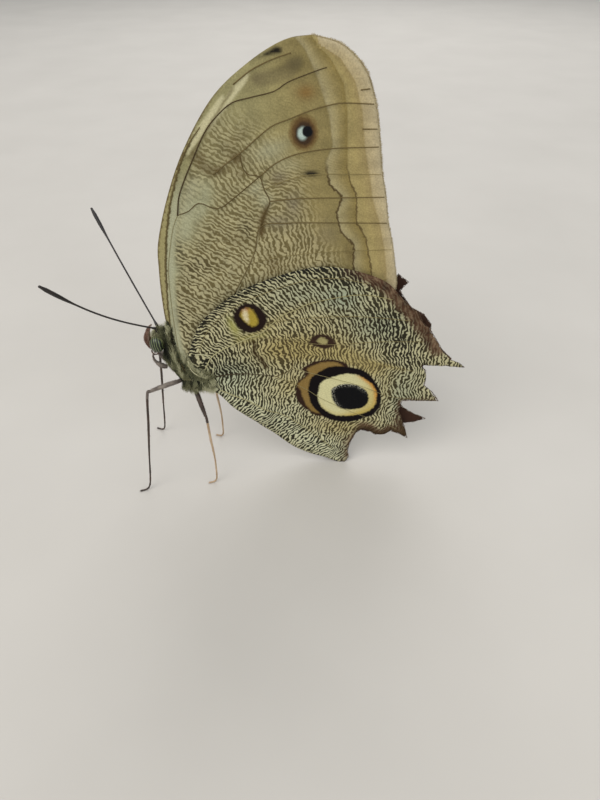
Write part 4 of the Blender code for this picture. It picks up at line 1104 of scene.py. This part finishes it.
def scatter(sections, count, rng):
    """Random places on a lofted skin: point, outward normal, direction along it, share of its length, and
    place on its map."""
    centre, across, up = (np.array([tuple(s[k]) for s in sections]) for k in range(3))
    step = np.linalg.norm(np.diff(centre, axis=0), axis=1)
    girth = np.linalg.norm(across, axis=1) + np.linalg.norm(up, axis=1)
    share = np.concatenate([[0.0], np.cumsum(step)]) / step.sum()
    weight = step * (girth[:-1] + girth[1:])
    row = rng.choice(len(step), count, p=weight / weight.sum())
    t = rng.random(count)[:, None]
    angle = rng.random(count) * 2 * math.pi
    c, s = np.cos(angle)[:, None], np.sin(angle)[:, None]

    def between(a):
        return a[row] * (1 - t) + a[row + 1] * t

    wide, tall = between(across), between(up)
    out = wide * c + tall * s
    points = between(centre) + out
    along = unit(centre[row + 1] + across[row + 1] * c + up[row + 1] * s
                 - centre[row] - across[row] * c - up[row] * s)
    normals = unit(np.cross(along, tall * c - wide * s))
    normals *= np.sign(np.sum(normals * out, axis=1))[:, None]
    reach = share[row] * (1 - t[:, 0]) + share[row + 1] * t[:, 0]
    places = np.stack([MAP_EDGE + MAP_LONG * reach, MAP_EDGE + MAP_ROUND * angle / (2 * math.pi)], axis=1)
    return points, normals, along, reach, places


def skin_map(mesh, rows, around):
    """The lofted skin's own unwrap: along it and round it."""
    layer = mesh.uv_layers.new(name="OFBake")
    for face in mesh.polygons:
        spots = []
        for i in face.vertices:
            spots.append((min(i // around, rows - 1) / (rows - 1), (i % around) / around))
        turns = [v for _, v in spots]
        for loop, (u, v) in zip(face.loop_indices, spots):
            if max(turns) - min(turns) > 0.5 and v < 0.5:
                v += 1.0
            layer.data[loop].uv = (MAP_EDGE + MAP_LONG * u, MAP_EDGE + MAP_ROUND * v)


# Body skin and coat

COAT_DEPTH = 0.35
BODY_AROUND = 56
NECK = (-27.0, 40.0)
NECK_NORMAL = Vector((-0.66, 0.75)).normalized()
HEAD = [
    (0.3, 1.9, 1.75), (1.0, 2.25, 1.95), (2.0, 2.6, 2.2), (3.2, 2.55, 2.15), (4.3, 2.05, 1.8),
    (5.0, 1.3, 1.2), (5.35, 0.6, 0.55)]
SEGMENT_LENGTH = 2.6
SEGMENT_GROOVE = 0.2
EYE_CENTRE = (-29.9, 1.95, 41.15)
EYE_RADII = (1.75, 1.45, 2.15)


def body_sections():
    """The skin from the top of the head to the tip of the abdomen, inside the coat's depth."""
    rows = [(NECK[0] + NECK_NORMAL.x * s, NECK[1] + NECK_NORMAL.y * s, thick, width)
            for s, thick, width in reversed(HEAD)]
    rows += THORAX[1:] + ABDOMEN[1:]
    path = smooth_path(rows, 0.42)
    run, out = 0.0, []
    for i, p in enumerate(path):
        a, b = path[max(i - 1, 0)], path[min(i + 1, len(path) - 1)]
        ahead = Vector((b[0] - a[0], b[1] - a[1])).normalized()
        if i:
            run += math.hypot(p[0] - path[i - 1][0], p[1] - path[i - 1][1])
        groove = 0.0
        if p[0] > ABDOMEN_FROM:
            groove = SEGMENT_GROOVE * max(0.0, math.cos(2 * math.pi * run / SEGMENT_LENGTH)) ** 4
        thick = max(0.15, p[2] - COAT_DEPTH - groove)
        width = max(0.15, p[3] - COAT_DEPTH - groove)
        out.append((Vector((p[0], 0, p[1])), Vector((0, width, 0)), Vector((-ahead.y, 0, ahead.x)) * thick))
    return out


def hair_scales(name, shades):
    # Hair scales: fine dry bristles, each a little lighter or darker than its neighbour and paler to its tip
    material, shader, place = new_material(name)
    tone = add(material, "Attribute", attribute_name="tone")
    grain = add(material, "TexNoise", {"Vector": place, "Scale": 4.0, "Detail": 2.0})
    mixed = add(material, "Math", {0: grain, 1: 0.3, 2: tone}, operation="MULTIPLY_ADD")
    stops = [(0.1 + 0.9 * i / (len(shades) - 1), shade) for i, shade in enumerate(shades)]
    colour = ramp(add(material, "ValToRGB", {0: mixed}), stops, smooth=False)
    bump = add(material, "Bump", {"Height": grain, "Strength": 0.3, "Distance": 0.0001})
    feed(material, shader, {"Base Color": colour, "Normal": bump, "Roughness": 0.7,
                            "Specular IOR Level": 0.2})
    return material


PALE_HAIR = [
    [(-27.0, 46.5), (-26.4, 42.6), (-25.6, 39.5), (-24.8, 36.5), (-24.3, 33.0)],
    [(-24.9, 42.5), (-23.9, 39.7), (-23.3, 37.0)],
    [(-22.5, 39.5), (-21.9, 37.5), (-20.4, 35.4), (-18.9, 33.4)],
    [(-26.4, 36.4), (-25.9, 33.6)]]
DARK_HAIR = [
    [(-26.3, 45.5), (-25.4, 41.0), (-24.3, 38.0), (-23.4, 34.5)],
    [(-27.9, 44.0), (-27.2, 40.0), (-26.2, 36.5), (-25.0, 31.5)],
    [(-21.4, 38.4), (-20.2, 36.8), (-18.6, 35.4)]]


PALE_TUFTS = [(-30.6, 44.2, 1.3, 1.2, 0.45), (-29.2, 37.4, 1.4, 1.6, 0.25), (-17.2, 30.2, 1.5, 1.5, 0.3)]
BODY_TUFTS = 90000
HEAD_FROM = 0.2
ABDOMEN_FROM = -20.0


def from_neck(points):
    """How far beyond the neck's plane each place lies, towards the head."""
    return (points[:, 0] - NECK[0]) * NECK_NORMAL.x + (points[:, 2] - NECK[1]) * NECK_NORMAL.y


def body_tone(points):
    """How pale the hair is: striped beside the wing roots, near black at the neck, pale on the crown."""
    flat = points[:, [0, 2]]
    tone = np.full(len(points), 0.38) + 0.1 * smoothstep(-21.0, -16.0, points[:, 0])
    for line in PALE_HAIR:
        tone += 0.45 * streak(flat, line, 0.5)
    for line in DARK_HAIR:
        tone -= 0.3 * streak(flat, line, 0.6)
    off = from_neck(points)
    tone -= 0.3 * smoothstep(-1.4, -0.2, off) * smoothstep(2.6, 1.2, off)
    return tone + blots(flat, PALE_TUFTS)


def clear_of_wings(fore_ring, hind_ring):
    """Keeps hair tips inside the closed wings that lie beside the body."""
    def clear(points):
        flat = points[:, [0, 2]]
        room = np.full(len(points), 1e9)
        for ring, height in ((hind_ring, hind_height), (fore_ring, wing_rise)):
            under = inside(flat, ring)
            room[under] = height(flat[under]) - SHEET_THICK / 2 - 0.08
        points[:, 1] = np.clip(points[:, 1], -room, room)
        points[:, 2] = np.maximum(points[:, 2], 0.05)
        return points
    return clear


def make_body():
    sections = body_sections()
    work = loft(sections, BODY_AROUND)
    fur = hair_scales("body_hair_scales", ["#14150E", "#2F3021", "#5C5D43", "#918F6B", "#C3C09C"])
    skin = finish_piece("body_skin", work, [fur], ["head", "thorax", "abdomen"])
    co = np.array([tuple(v.co) for v in skin.data.vertices]) / MM
    put_values(skin.data, "tone", body_tone(co) - 0.15)
    skin_map(skin.data, len(sections), BODY_AROUND)

    fore_ring = [p for part in (FORE_COSTA, FORE_OUTER, FORE_DORSUM) for p in smooth_path(part, 1.5)[:-1]]
    hind_ring = (smooth_path(HIND_COSTA, 1.5)[:-1] + even(HIND_WORN_MARGIN, 1.5)[:-1]
                 + even(HIND_FOOT, 1.5)[:-1] + smooth_path(HIND_INNER, 1.5)[:-1])
    clear = clear_of_wings(fore_ring, hind_ring)
    rng = np.random.default_rng(11)
    points, normals, along, _, places = scatter(sections, BODY_TUFTS, rng)
    eye = np.minimum(*(np.linalg.norm((points - np.array(mirrored([EYE_CENTRE], side)[0]))
                                      / (np.array(EYE_RADII) + 0.14), axis=1) for side in (LEFT, RIGHT)))
    # only a thin growth deep between the closed wings, where nothing shows
    flat = points[:, [0, 2]]
    deep = np.maximum(*(np.where(inside(flat, r), line_distance(flat, r + r[:1])[0], 0.0)
                        for r in (fore_ring, hind_ring)))
    off = from_neck(points)
    growth = (np.where(off > HEAD_FROM, 0.95, 0.42) * np.where(points[:, 0] > ABDOMEN_FROM, 0.3, 1.0)
              * np.where(deep > 1.2, 0.12, 1.0))
    keep = (eye > 1.0) & (rng.random(len(points)) < growth)
    points, normals, along, places, off = (a[keep] for a in (points, normals, along, places, off))
    count = len(points)
    on_head, on_tail = smoothstep(-0.6, 0.9, off), smoothstep(-20.5, -17.5, points[:, 0])
    crown = blot(points[:, [0, 2]], -30.2, 44.6, 1.3, 1.2) * on_head
    shared = clumps(points, 0.8, rng)
    lengths = (2.0 - 1.15 * on_head - 0.9 * on_tail + 0.4 * crown) * rng.uniform(0.7, 1.2, count)
    widths = (0.055 - 0.02 * on_head) * rng.uniform(0.8, 1.2, count)
    lifts = (0.42 + 0.2 * on_head - 0.15 * on_tail + 0.9 * crown + 0.25 * (shared - 0.5)
             + rng.normal(0, 0.08, count))
    down = np.array([0.15, 0.0, -1.0]) * (1 - on_head - on_tail)[:, None].clip(0, 1)
    tones = body_tone(points) + 0.22 * (shared - 0.5) + rng.normal(0, 0.08, count)
    lies = along + down * 0.8 + rng.normal(0, 0.16, points.shape) + np.stack(
        [clumps(points, 0.8, rng) - 0.5, clumps(points, 0.8, rng) - 0.5, np.zeros(count)], axis=1) * 0.5
    head, tail = off > HEAD_FROM, points[:, 0] > ABDOMEN_FROM
    for name, part in (("head_coat", head), ("thorax_coat", ~head & ~tail), ("abdomen_coat", tail)):
        tuft_coat(name, *(a[part] for a in (points, normals, lies, lengths, widths, lifts, places, tones)),
                  fur, "fur", rng, clear)
    make_root_hairs(fur, hind_ring)


# Hair on the outer side of the wing roots: its outline, where it spreads from, its length in mm, its lift
# and its number of tufts
ROOT_HAIRS = [
    ([(-24.4, 31.0), (-26.4, 35.6), (-27.1, 40.5), (-27.2, 46.8), (-26.3, 46.8), (-24.6, 41.0),
        (-22.9, 37.4), (-21.8, 33.0), (-22.0, 31.0)], (-22.2, 18.0), 1.9, 0.14, 1500),
    ([(-22.6, 33.0), (-23.0, 36.5), (-22.6, 39.6), (-21.8, 39.0), (-21.0, 37.0), (-19.6, 36.0),
        (-17.9, 34.6), (-16.4, 32.2), (-19.0, 31.6)], (-23.4, 24.5), 1.25, 0.12, 1000),
    ([(-24.8, 29.8), (-24.3, 32.4), (-22.5, 32.4), (-20.5, 33.6), (-18.7, 32.2), (-16.9, 33.0),
        (-16.0, 30.8), (-18.2, 28.9), (-19.4, 30.0), (-21.5, 29.0)], (-20.8, 44.0), 1.7, 0.45, 1700)]


def make_root_hairs(fur, hind_ring):
    for side, word in SIDES:
        rng = np.random.default_rng(50 + side)
        gathered = []
        for outline, source, length, lift, count in ROOT_HAIRS:
            ring = np.array(outline)
            flat = rng.uniform(ring.min(0), ring.max(0), (count * 4, 2))
            flat = flat[inside(flat, outline)][:count]
            height = np.where(inside(flat, hind_ring), hind_height(flat), wing_rise(flat)) + 0.22
            points = np.stack([flat[:, 0], side * height, flat[:, 1]], axis=1)
            shared = clumps(points, 0.9, rng)
            lies = points - np.array([source[0], 0.0, source[1]])
            lies = unit(lies * np.array([1.0, 0.0, 1.0]))
            lies = lies + rng.normal(0, 0.14, points.shape)
            lies[:, 0] += (shared - 0.5) * (0.3 + lift)
            grown = len(flat)
            lengths = length * rng.uniform(0.6, 1.1, grown) * (0.65 + 0.6 * shared)
            widths = 0.05 * rng.uniform(0.8, 1.2, grown)
            lifts = lift + rng.normal(0, 0.07, grown) + 0.15 * shared
            tones = body_tone(points) + (0.25 + lift) * (shared - 0.5) + rng.normal(0, 0.08, grown)
            gathered.append((points, outwards(side, grown), lies, lengths, widths, lifts,
                             flat_place(points, side), tones))
        joined = [np.concatenate(parts) for parts in zip(*gathered)]
        tuft_coat("wing_root_hair_" + word, *joined, fur, "fur", rng)


def outwards(side, count):
    return np.tile([0.0, float(side), 0.0], (count, 1))


def flat_place(points, side):
    """Place on the export's map for tufts that root on a wing: a flat plan, one half of it for each side."""
    half = 0.5 if side == RIGHT else 0.0
    return np.stack([(points[:, 0] + 48) / 210 + half, (points[:, 2] + 1) / 110], axis=1)


FRINGE_STEP = 0.1


def make_fringes():
    """The short fringe of scales along the outer margins, worn short and uneven on the hindwings."""
    fore = hair_scales("forewing_fringe_scales", ["#6E5F45", "#94845F", "#B5A684", "#CBBE9C"])
    hind = hair_scales("hindwing_fringe_scales", ["#1E150F", "#3A2A1E", "#5C4734", "#8A755C"])
    for side, word in SIDES:
        rng = np.random.default_rng(70 + side)
        worn = HIND_WORN_MARGIN if side == LEFT else HIND_TOOTHED_MARGIN
        for kind, line, height, material, length, slot in (
                ("forewing_fringe_", smooth_path(FORE_OUTER, FRINGE_STEP), wing_rise, fore, 0.4, "wing"),
                ("hindwing_fringe_", even(worn, FRINGE_STEP), hind_height, hind, 0.3, "hindwing")):
            flat = np.array([tuple(p)[:2] for p in line])
            if kind == "forewing_fringe_" and side == RIGHT:
                flat = np.array(turned([tuple(p) for p in flat], RIGHT_FOREWING_TURN, FORE_COSTA[0]))
            ahead = unit(np.gradient(flat, axis=0))
            out = np.stack([-ahead[:, 1], np.zeros(len(flat)), ahead[:, 0]], axis=1)
            points = np.stack([flat[:, 0], side * (height(flat) + 0.12), flat[:, 1]], axis=1) - out * 0.1
            shared = clumps(points, 1.1, rng)
            count = len(flat)
            lies = out + rng.normal(0, 0.18, points.shape)
            lengths = length * (0.6 + 0.7 * shared) * rng.uniform(0.7, 1.2, count)
            lifts = rng.uniform(-0.05, 0.15, count)
            tones = 0.4 + 0.3 * (shared - 0.5) + rng.normal(0, 0.1, count)
            tuft_coat(kind + word, points, outwards(side, count), lies, lengths, np.full(count, 0.06), lifts,
                      flat_place(points, side), tones, material, slot, rng)


# Head: eyes, palps, tongue, antennae

def make_eyes():
    # Compound eyes: glossy dark green lenses under thin pale upright bands; the lens rows are drawn at
    # 0.14 mm, five times their real pitch, so that they show
    material, shader, place = new_material("compound_eye_banded")
    bands = add(material, "Mapping", {"Vector": place, "Rotation": (0, math.radians(8), 0)})
    x = add(material, "SeparateXYZ", {0: bands})
    shake = add(material, "TexNoise", {"Vector": place, "Scale": 0.8})
    turn = add(material, "Math", {0: x, 1: 2 * math.pi / 0.56}, operation="MULTIPLY")
    turn = add(material, "Math", {0: shake, 1: 3.2, 2: turn}, operation="MULTIPLY_ADD")
    wave = add(material, "Math", {0: turn}, operation="SINE")
    wave = add(material, "MapRange", {0: wave, 1: -1.0, 2: 1.0})
    colour = ramp(add(material, "ValToRGB", {0: wave}),
                  [(0.0, "#080D08"), (0.6, "#121B10"), (0.88, "#3A4628"), (1.0, "#848E60")])
    rim = add(material, "Attribute", attribute_name="rim")
    colour = add(material, "Mix", {0: rim, 6: colour, 7: "#98996C"}, data_type="RGBA")
    lenses = add(material, "TexVoronoi", {"Vector": place, "Scale": 7.0, "Randomness": 0.25},
                 feature="DISTANCE_TO_EDGE")
    bump = add(material, "Bump", {"Height": lenses, "Strength": 0.25, "Distance": 0.0001})
    feed(material, shader, {"Base Color": colour, "Normal": bump, "Roughness": 0.34, "Coat Weight": 0.1})
    for side, word in SIDES:
        work = bmesh.new()
        bmesh.ops.create_icosphere(work, subdivisions=5, radius=1.0)
        bmesh.ops.scale(work, vec=tuple(r + 0.04 for r in EYE_RADII), verts=work.verts[:])
        bmesh.ops.translate(work, vec=mirrored([EYE_CENTRE], side)[0], verts=work.verts[:])
        places = np.array([(v.co.x - EYE_CENTRE[0], abs(v.co.y), v.co.z - EYE_CENTRE[2]) for v in work.verts])
        rear = smoothstep(-1.0, 1.2, places[:, 0] - 0.6 * places[:, 2])
        eye = finish_piece("eye_" + word + "_lenses", work, [material], ["eye_" + word])
        put_values(eye.data, "rim", smoothstep(2.55, 2.2, places[:, 1]) * (0.25 + 0.75 * rear))


def mirrored(points, side):
    return [(x, y * side, z) for x, y, z in points]


PALP_PATH = [(-31.4, 0.8, 38.9), (-32.2, 0.9, 40.5), (-32.5, 0.95, 42.2), (-32.1, 0.9, 43.8),
             (-31.3, 0.8, 44.9)]
PALP_RADII = [0.35, 0.6, 0.65, 0.5, 0.22]
PALP_AROUND = 20
PALP_TUFTS = 2400


def spread(values, count):
    """Values stretched over a number of samples."""
    return np.interp(np.linspace(0, len(values) - 1, count), range(len(values)), values)


def make_palps():
    palp = hair_scales("palp_hair_scales", ["#48332A", "#76574A", "#9C7B6A", "#C2AA96"])
    for side, word in SIDES:
        path = smooth_path(mirrored(PALP_PATH, side), 0.25)
        radii = spread(PALP_RADII, len(path)) - 0.14
        sections = tube_sections(path, radii, 0.8)
        core = finish_piece("palp_" + word + "_core", loft(sections, PALP_AROUND), [palp],
                            ["palp_" + word])
        put_values(core.data, "tone", np.full(len(core.data.vertices), 0.15))
        skin_map(core.data, len(sections), PALP_AROUND)
        rng = np.random.default_rng(31 + side)
        points, normals, along, share, places = scatter(sections, PALP_TUFTS, rng)
        shared = clumps(points, 0.5, rng)
        lies = along + rng.normal(0, 0.16, points.shape)
        lengths = rng.uniform(0.4, 0.75, PALP_TUFTS) * (1 - 0.4 * share)
        lifts = rng.uniform(0.35, 0.7, PALP_TUFTS) + 0.2 * shared
        tones = (0.42 + 0.35 * (shared - 0.5) + 0.25 * smoothstep(0.2, 0.9, normals[:, 0])
                 + rng.normal(0, 0.1, PALP_TUFTS))
        tuft_coat("palp_" + word + "_coat", points, normals, lies, lengths, np.full(PALP_TUFTS, 0.03), lifts,
                  places, tones, palp, "palp", rng)


COIL_CENTRE = (-31.1, 37.6)
COIL_OUTER, COIL_INNER, COIL_TURNS, COIL_TUBE = 1.1, 0.3, 1.6, 0.2
COIL_STEPS = 150


def cuticle(name, dark, light, scale, rough):
    # Bare insect cuticle: hard and slightly glossy, mottled from dark to light
    material, shader, place = new_material(name)
    cloud = add(material, "TexNoise", {"Vector": place, "Scale": scale, "Detail": 3.0})
    colour = ramp(add(material, "ValToRGB", {0: cloud}), [(0.35, dark), (0.7, light)])
    grain = add(material, "TexNoise", {"Vector": place, "Scale": 9.0, "Detail": 1.0})
    bump = add(material, "Bump", {"Height": grain, "Strength": 0.25, "Distance": 0.00005})
    feed(material, shader, {"Base Color": colour, "Normal": bump, "Roughness": rough})
    return material


def make_tongue():
    path, radii = [], []
    for i in range(COIL_STEPS + 1):
        t = i / COIL_STEPS
        angle = math.radians(60) + 2 * math.pi * COIL_TURNS * t
        radius = COIL_OUTER + (COIL_INNER - COIL_OUTER) * t
        path.append(Vector((COIL_CENTRE[0] + radius * math.cos(angle), 0,
                            COIL_CENTRE[1] + radius * math.sin(angle))))
        radii.append(COIL_TUBE * (1 - 0.45 * t) * (1.0 if i % 2 else 0.9))
    finish_piece("proboscis_coil", loft(tube_sections(path, radii), 12),
                 [cuticle("tongue_cuticle", "#3A2418", "#6E4A30", 1.5, 0.4)], ["proboscis"])


# The feeler's basal joint is seated in the crown's hair
ANTENNA_SEAT = (-29.5, 0.72, 43.5)
BASAL_JOINT_RADII = [0.3, 0.42, 0.46, 0.42, 0.36]
ANTENNA_BASE = (-29.85, 0.75, 44.9)
ANTENNA_TIP = (-45.72, 19.0, 66.5)
ANTENNA_BOW = {LEFT: (-0.6, -0.5, -1.1), RIGHT: (-0.4, 0.4, 0.2)}
ANTENNA_JOINTS = 74


def make_antennae():
    black = cuticle("antenna_cuticle", "#0E0B0A", "#231A15", 1.2, 0.45)
    for side, word in SIDES:
        seat, base, tip = (Vector(p) for p in mirrored([ANTENNA_SEAT, ANTENNA_BASE, ANTENNA_TIP], side))
        bow = Vector(ANTENNA_BOW[side])
        path, radii, steps = [], [], ANTENNA_JOINTS * 4
        for i in range(steps + 1):
            t = i / steps
            path.append(base.lerp(tip, t) + bow * math.sin(math.pi * t))
            club = float(smoothstep(0.7, 0.88, t) * (1 - smoothstep(0.94, 1.0, t) * 0.7))
            swell = 0.16 * (1 - float(smoothstep(0.0, 0.05, t)))
            joint = 0.02 * (1.0 if i % 4 in (1, 2) else -0.6)
            radii.append(0.2 + swell + 0.24 * club + joint)
        path = [seat.lerp(base, k / 5) for k in range(5)] + path
        work = loft(tube_sections(path, BASAL_JOINT_RADII + radii), 14)
        finish_piece("antenna_" + word + "_rings", work, [black], ["antenna_" + word])


# Legs

MID_LEG = [
    (-25.2, 2.3, 30.4), (-28.6, 5.4, 31.2), (-31.7, 8.0, 31.5), (-32.6, 8.75, 30.9), (-33.6, 9.6, 22.0),
    (-34.8, 10.6, 12.0), (-35.5, 11.15, 5.4), (-36.1, 11.6, 1.6), (-37.0, 12.0, 0.36), (-38.6, 12.6, 0.28)]
HIND_LEG = [
    (-22.3, 1.9, 28.5), (-20.9, 5.0, 26.4), (-19.4, 7.6, 23.5), (-19.0, 8.1, 22.3), (-18.6, 8.5, 16.0),
    (-18.1, 8.8, 10.0), (-18.05, 8.9, 4.9), (-18.2, 9.0, 1.6), (-18.9, 9.2, 0.36), (-20.3, 9.6, 0.28)]
FORE_LEG = [(-28.4, 1.5, 34.1), (-29.7, 1.7, 34.6), (-31.0, 1.85, 36.0), (-31.4, 1.95, 37.4),
            (-31.2, 2.0, 38.2)]
LEG_SPINES = 11
LEG_TUFTS = 450
FOOT_JOINTS = (0.0, 0.46, 0.64, 0.77, 0.88, 1.0)


def leg_radius(share, knee, ankle):
    """Radius along a leg: stout thigh, pinched knee, slim shin, and a foot of five short joints."""
    if share < knee:
        t = share / knee
        return 0.48 + 0.12 * math.sin(math.pi * min(1.0, t * 1.2)) - 0.24 * t ** 6
    if share < ankle:
        t = (share - knee) / (ankle - knee)
        return 0.27 + 0.05 * math.sin(math.pi * t) - 0.04 * t + 0.07 * (1 - t) ** 8
    t = (share - ankle) / (1 - ankle)
    for a, b in zip(FOOT_JOINTS, FOOT_JOINTS[1:]):
        if t <= b:
            s = (t - a) / (b - a)
            return 0.19 + 0.06 * s ** 1.5 + 0.03 * (1 - s) ** 6
    return 0.2


def spine(work, root, ahead, length, width):
    turn = Vector(ahead).to_track_quat("Z", "Y").to_matrix().to_4x4()
    turn.translation = Vector(root) + Vector(ahead).normalized() * length / 2
    bmesh.ops.create_cone(work, cap_ends=True, segments=6, radius1=width, radius2=width * 0.12, depth=length,
                          matrix=turn)


def make_leg(node, ending, points, side, materials, knee_point, ankle_point, seed):
    path = smooth_path(mirrored(points, side), 0.22)
    run = np.concatenate([[0.0], np.cumsum([(b - a).length for a, b in zip(path, path[1:])])])
    share = run / run[-1]
    knee, ankle = (share[int(np.argmin([(p - Vector(joint)).length for p in path]))]
                   for joint in mirrored([points[knee_point], points[ankle_point]], side))
    radii = [leg_radius(s, knee, ankle) for s in share]
    sections = tube_sections(path, radii)
    work = loft(sections, 12)
    rng = np.random.default_rng(seed)
    for k in range(LEG_SPINES):
        s = knee + (ankle - knee) * (0.12 + 0.86 * k / (LEG_SPINES - 1))
        i = min(int(np.searchsorted(share, s)), len(path) - 2)
        ahead = (path[i + 1] - path[i]).normalized()
        turn = rng.uniform(-0.5, 0.5) + (0 if k % 2 else math.pi)
        _, across, up = sections[i]
        out = (across.normalized() * math.cos(turn) + up.normalized() * math.sin(turn))
        spine(work, path[i] + out * radii[i] * 0.7, ahead + out * 0.75, rng.uniform(0.45, 0.7), 0.06)
    tip = (path[-1] - path[-2]).normalized()
    for turn in (-0.5, 0.5):
        claw = Vector((tip.x * math.cos(turn) - tip.y * math.sin(turn),
                       tip.x * math.sin(turn) + tip.y * math.cos(turn), -0.1))
        spine(work, path[-1] - tip * 0.1, claw, 0.5, 0.08)
    for v in work.verts:
        v.co.z = max(v.co.z, 0.0)
    for face in work.faces:
        spot = face.calc_center_median()
        face.material_index = 0 if spot.z > points[knee_point][2] - 1.0 or node.startswith("foreleg") else 1
    finish_piece(node + ending, work, materials, [node])
    # short scales lying along the leg, longest under the thigh
    count = LEG_TUFTS if node.startswith("foreleg") else LEG_TUFTS * 2
    roots, normals, along, reach, places = scatter(sections, count, rng)
    lies = along + rng.normal(0, 0.15, roots.shape)
    upper = 1.0 - smoothstep(knee - 0.05, knee + 0.1, reach)
    for word, part, material in (("_upper_scales", upper >= 0.5, materials[0]),
                                 ("_lower_scales", upper < 0.5, materials[1])):
        grown = int(part.sum())
        lengths = (0.3 + 0.22 * upper[part]) * rng.uniform(0.7, 1.2, grown)
        lifts = rng.uniform(0.35, 0.7, grown)
        tuft_coat(node + word, roots[part], normals[part], lies[part], lengths, np.full(grown, 0.03), lifts,
                  places[part], rng.random(grown), material, "leg", rng, above_floor)


def above_floor(points):
    points[:, 2] = np.maximum(points[:, 2], 0.02)
    return points


def make_legs():
    thigh = cuticle("leg_scales_upper", "#5C514A", "#8F8479", 0.5, 0.65)
    shin = cuticle("leg_scales_shin", "#2C2019", "#4A382C", 0.3, 0.55)
    tan = cuticle("leg_scales_tan", "#A08566", "#BFA78A", 0.3, 0.65)
    for side, word in SIDES:
        make_leg("foreleg_" + word, "_folded", FORE_LEG, side, [thigh, thigh], 2, 3, 5)
        make_leg("midleg_" + word, "_jointed", MID_LEG, side, [thigh, shin], 3, 5, 6)
        make_leg("hindleg_" + word, "_jointed", HIND_LEG, side, [shin, tan], 3, 5, 7)


make_body()
make_eyes()
make_palps()
make_fringes()
make_tongue()
make_antennae()
make_legs()
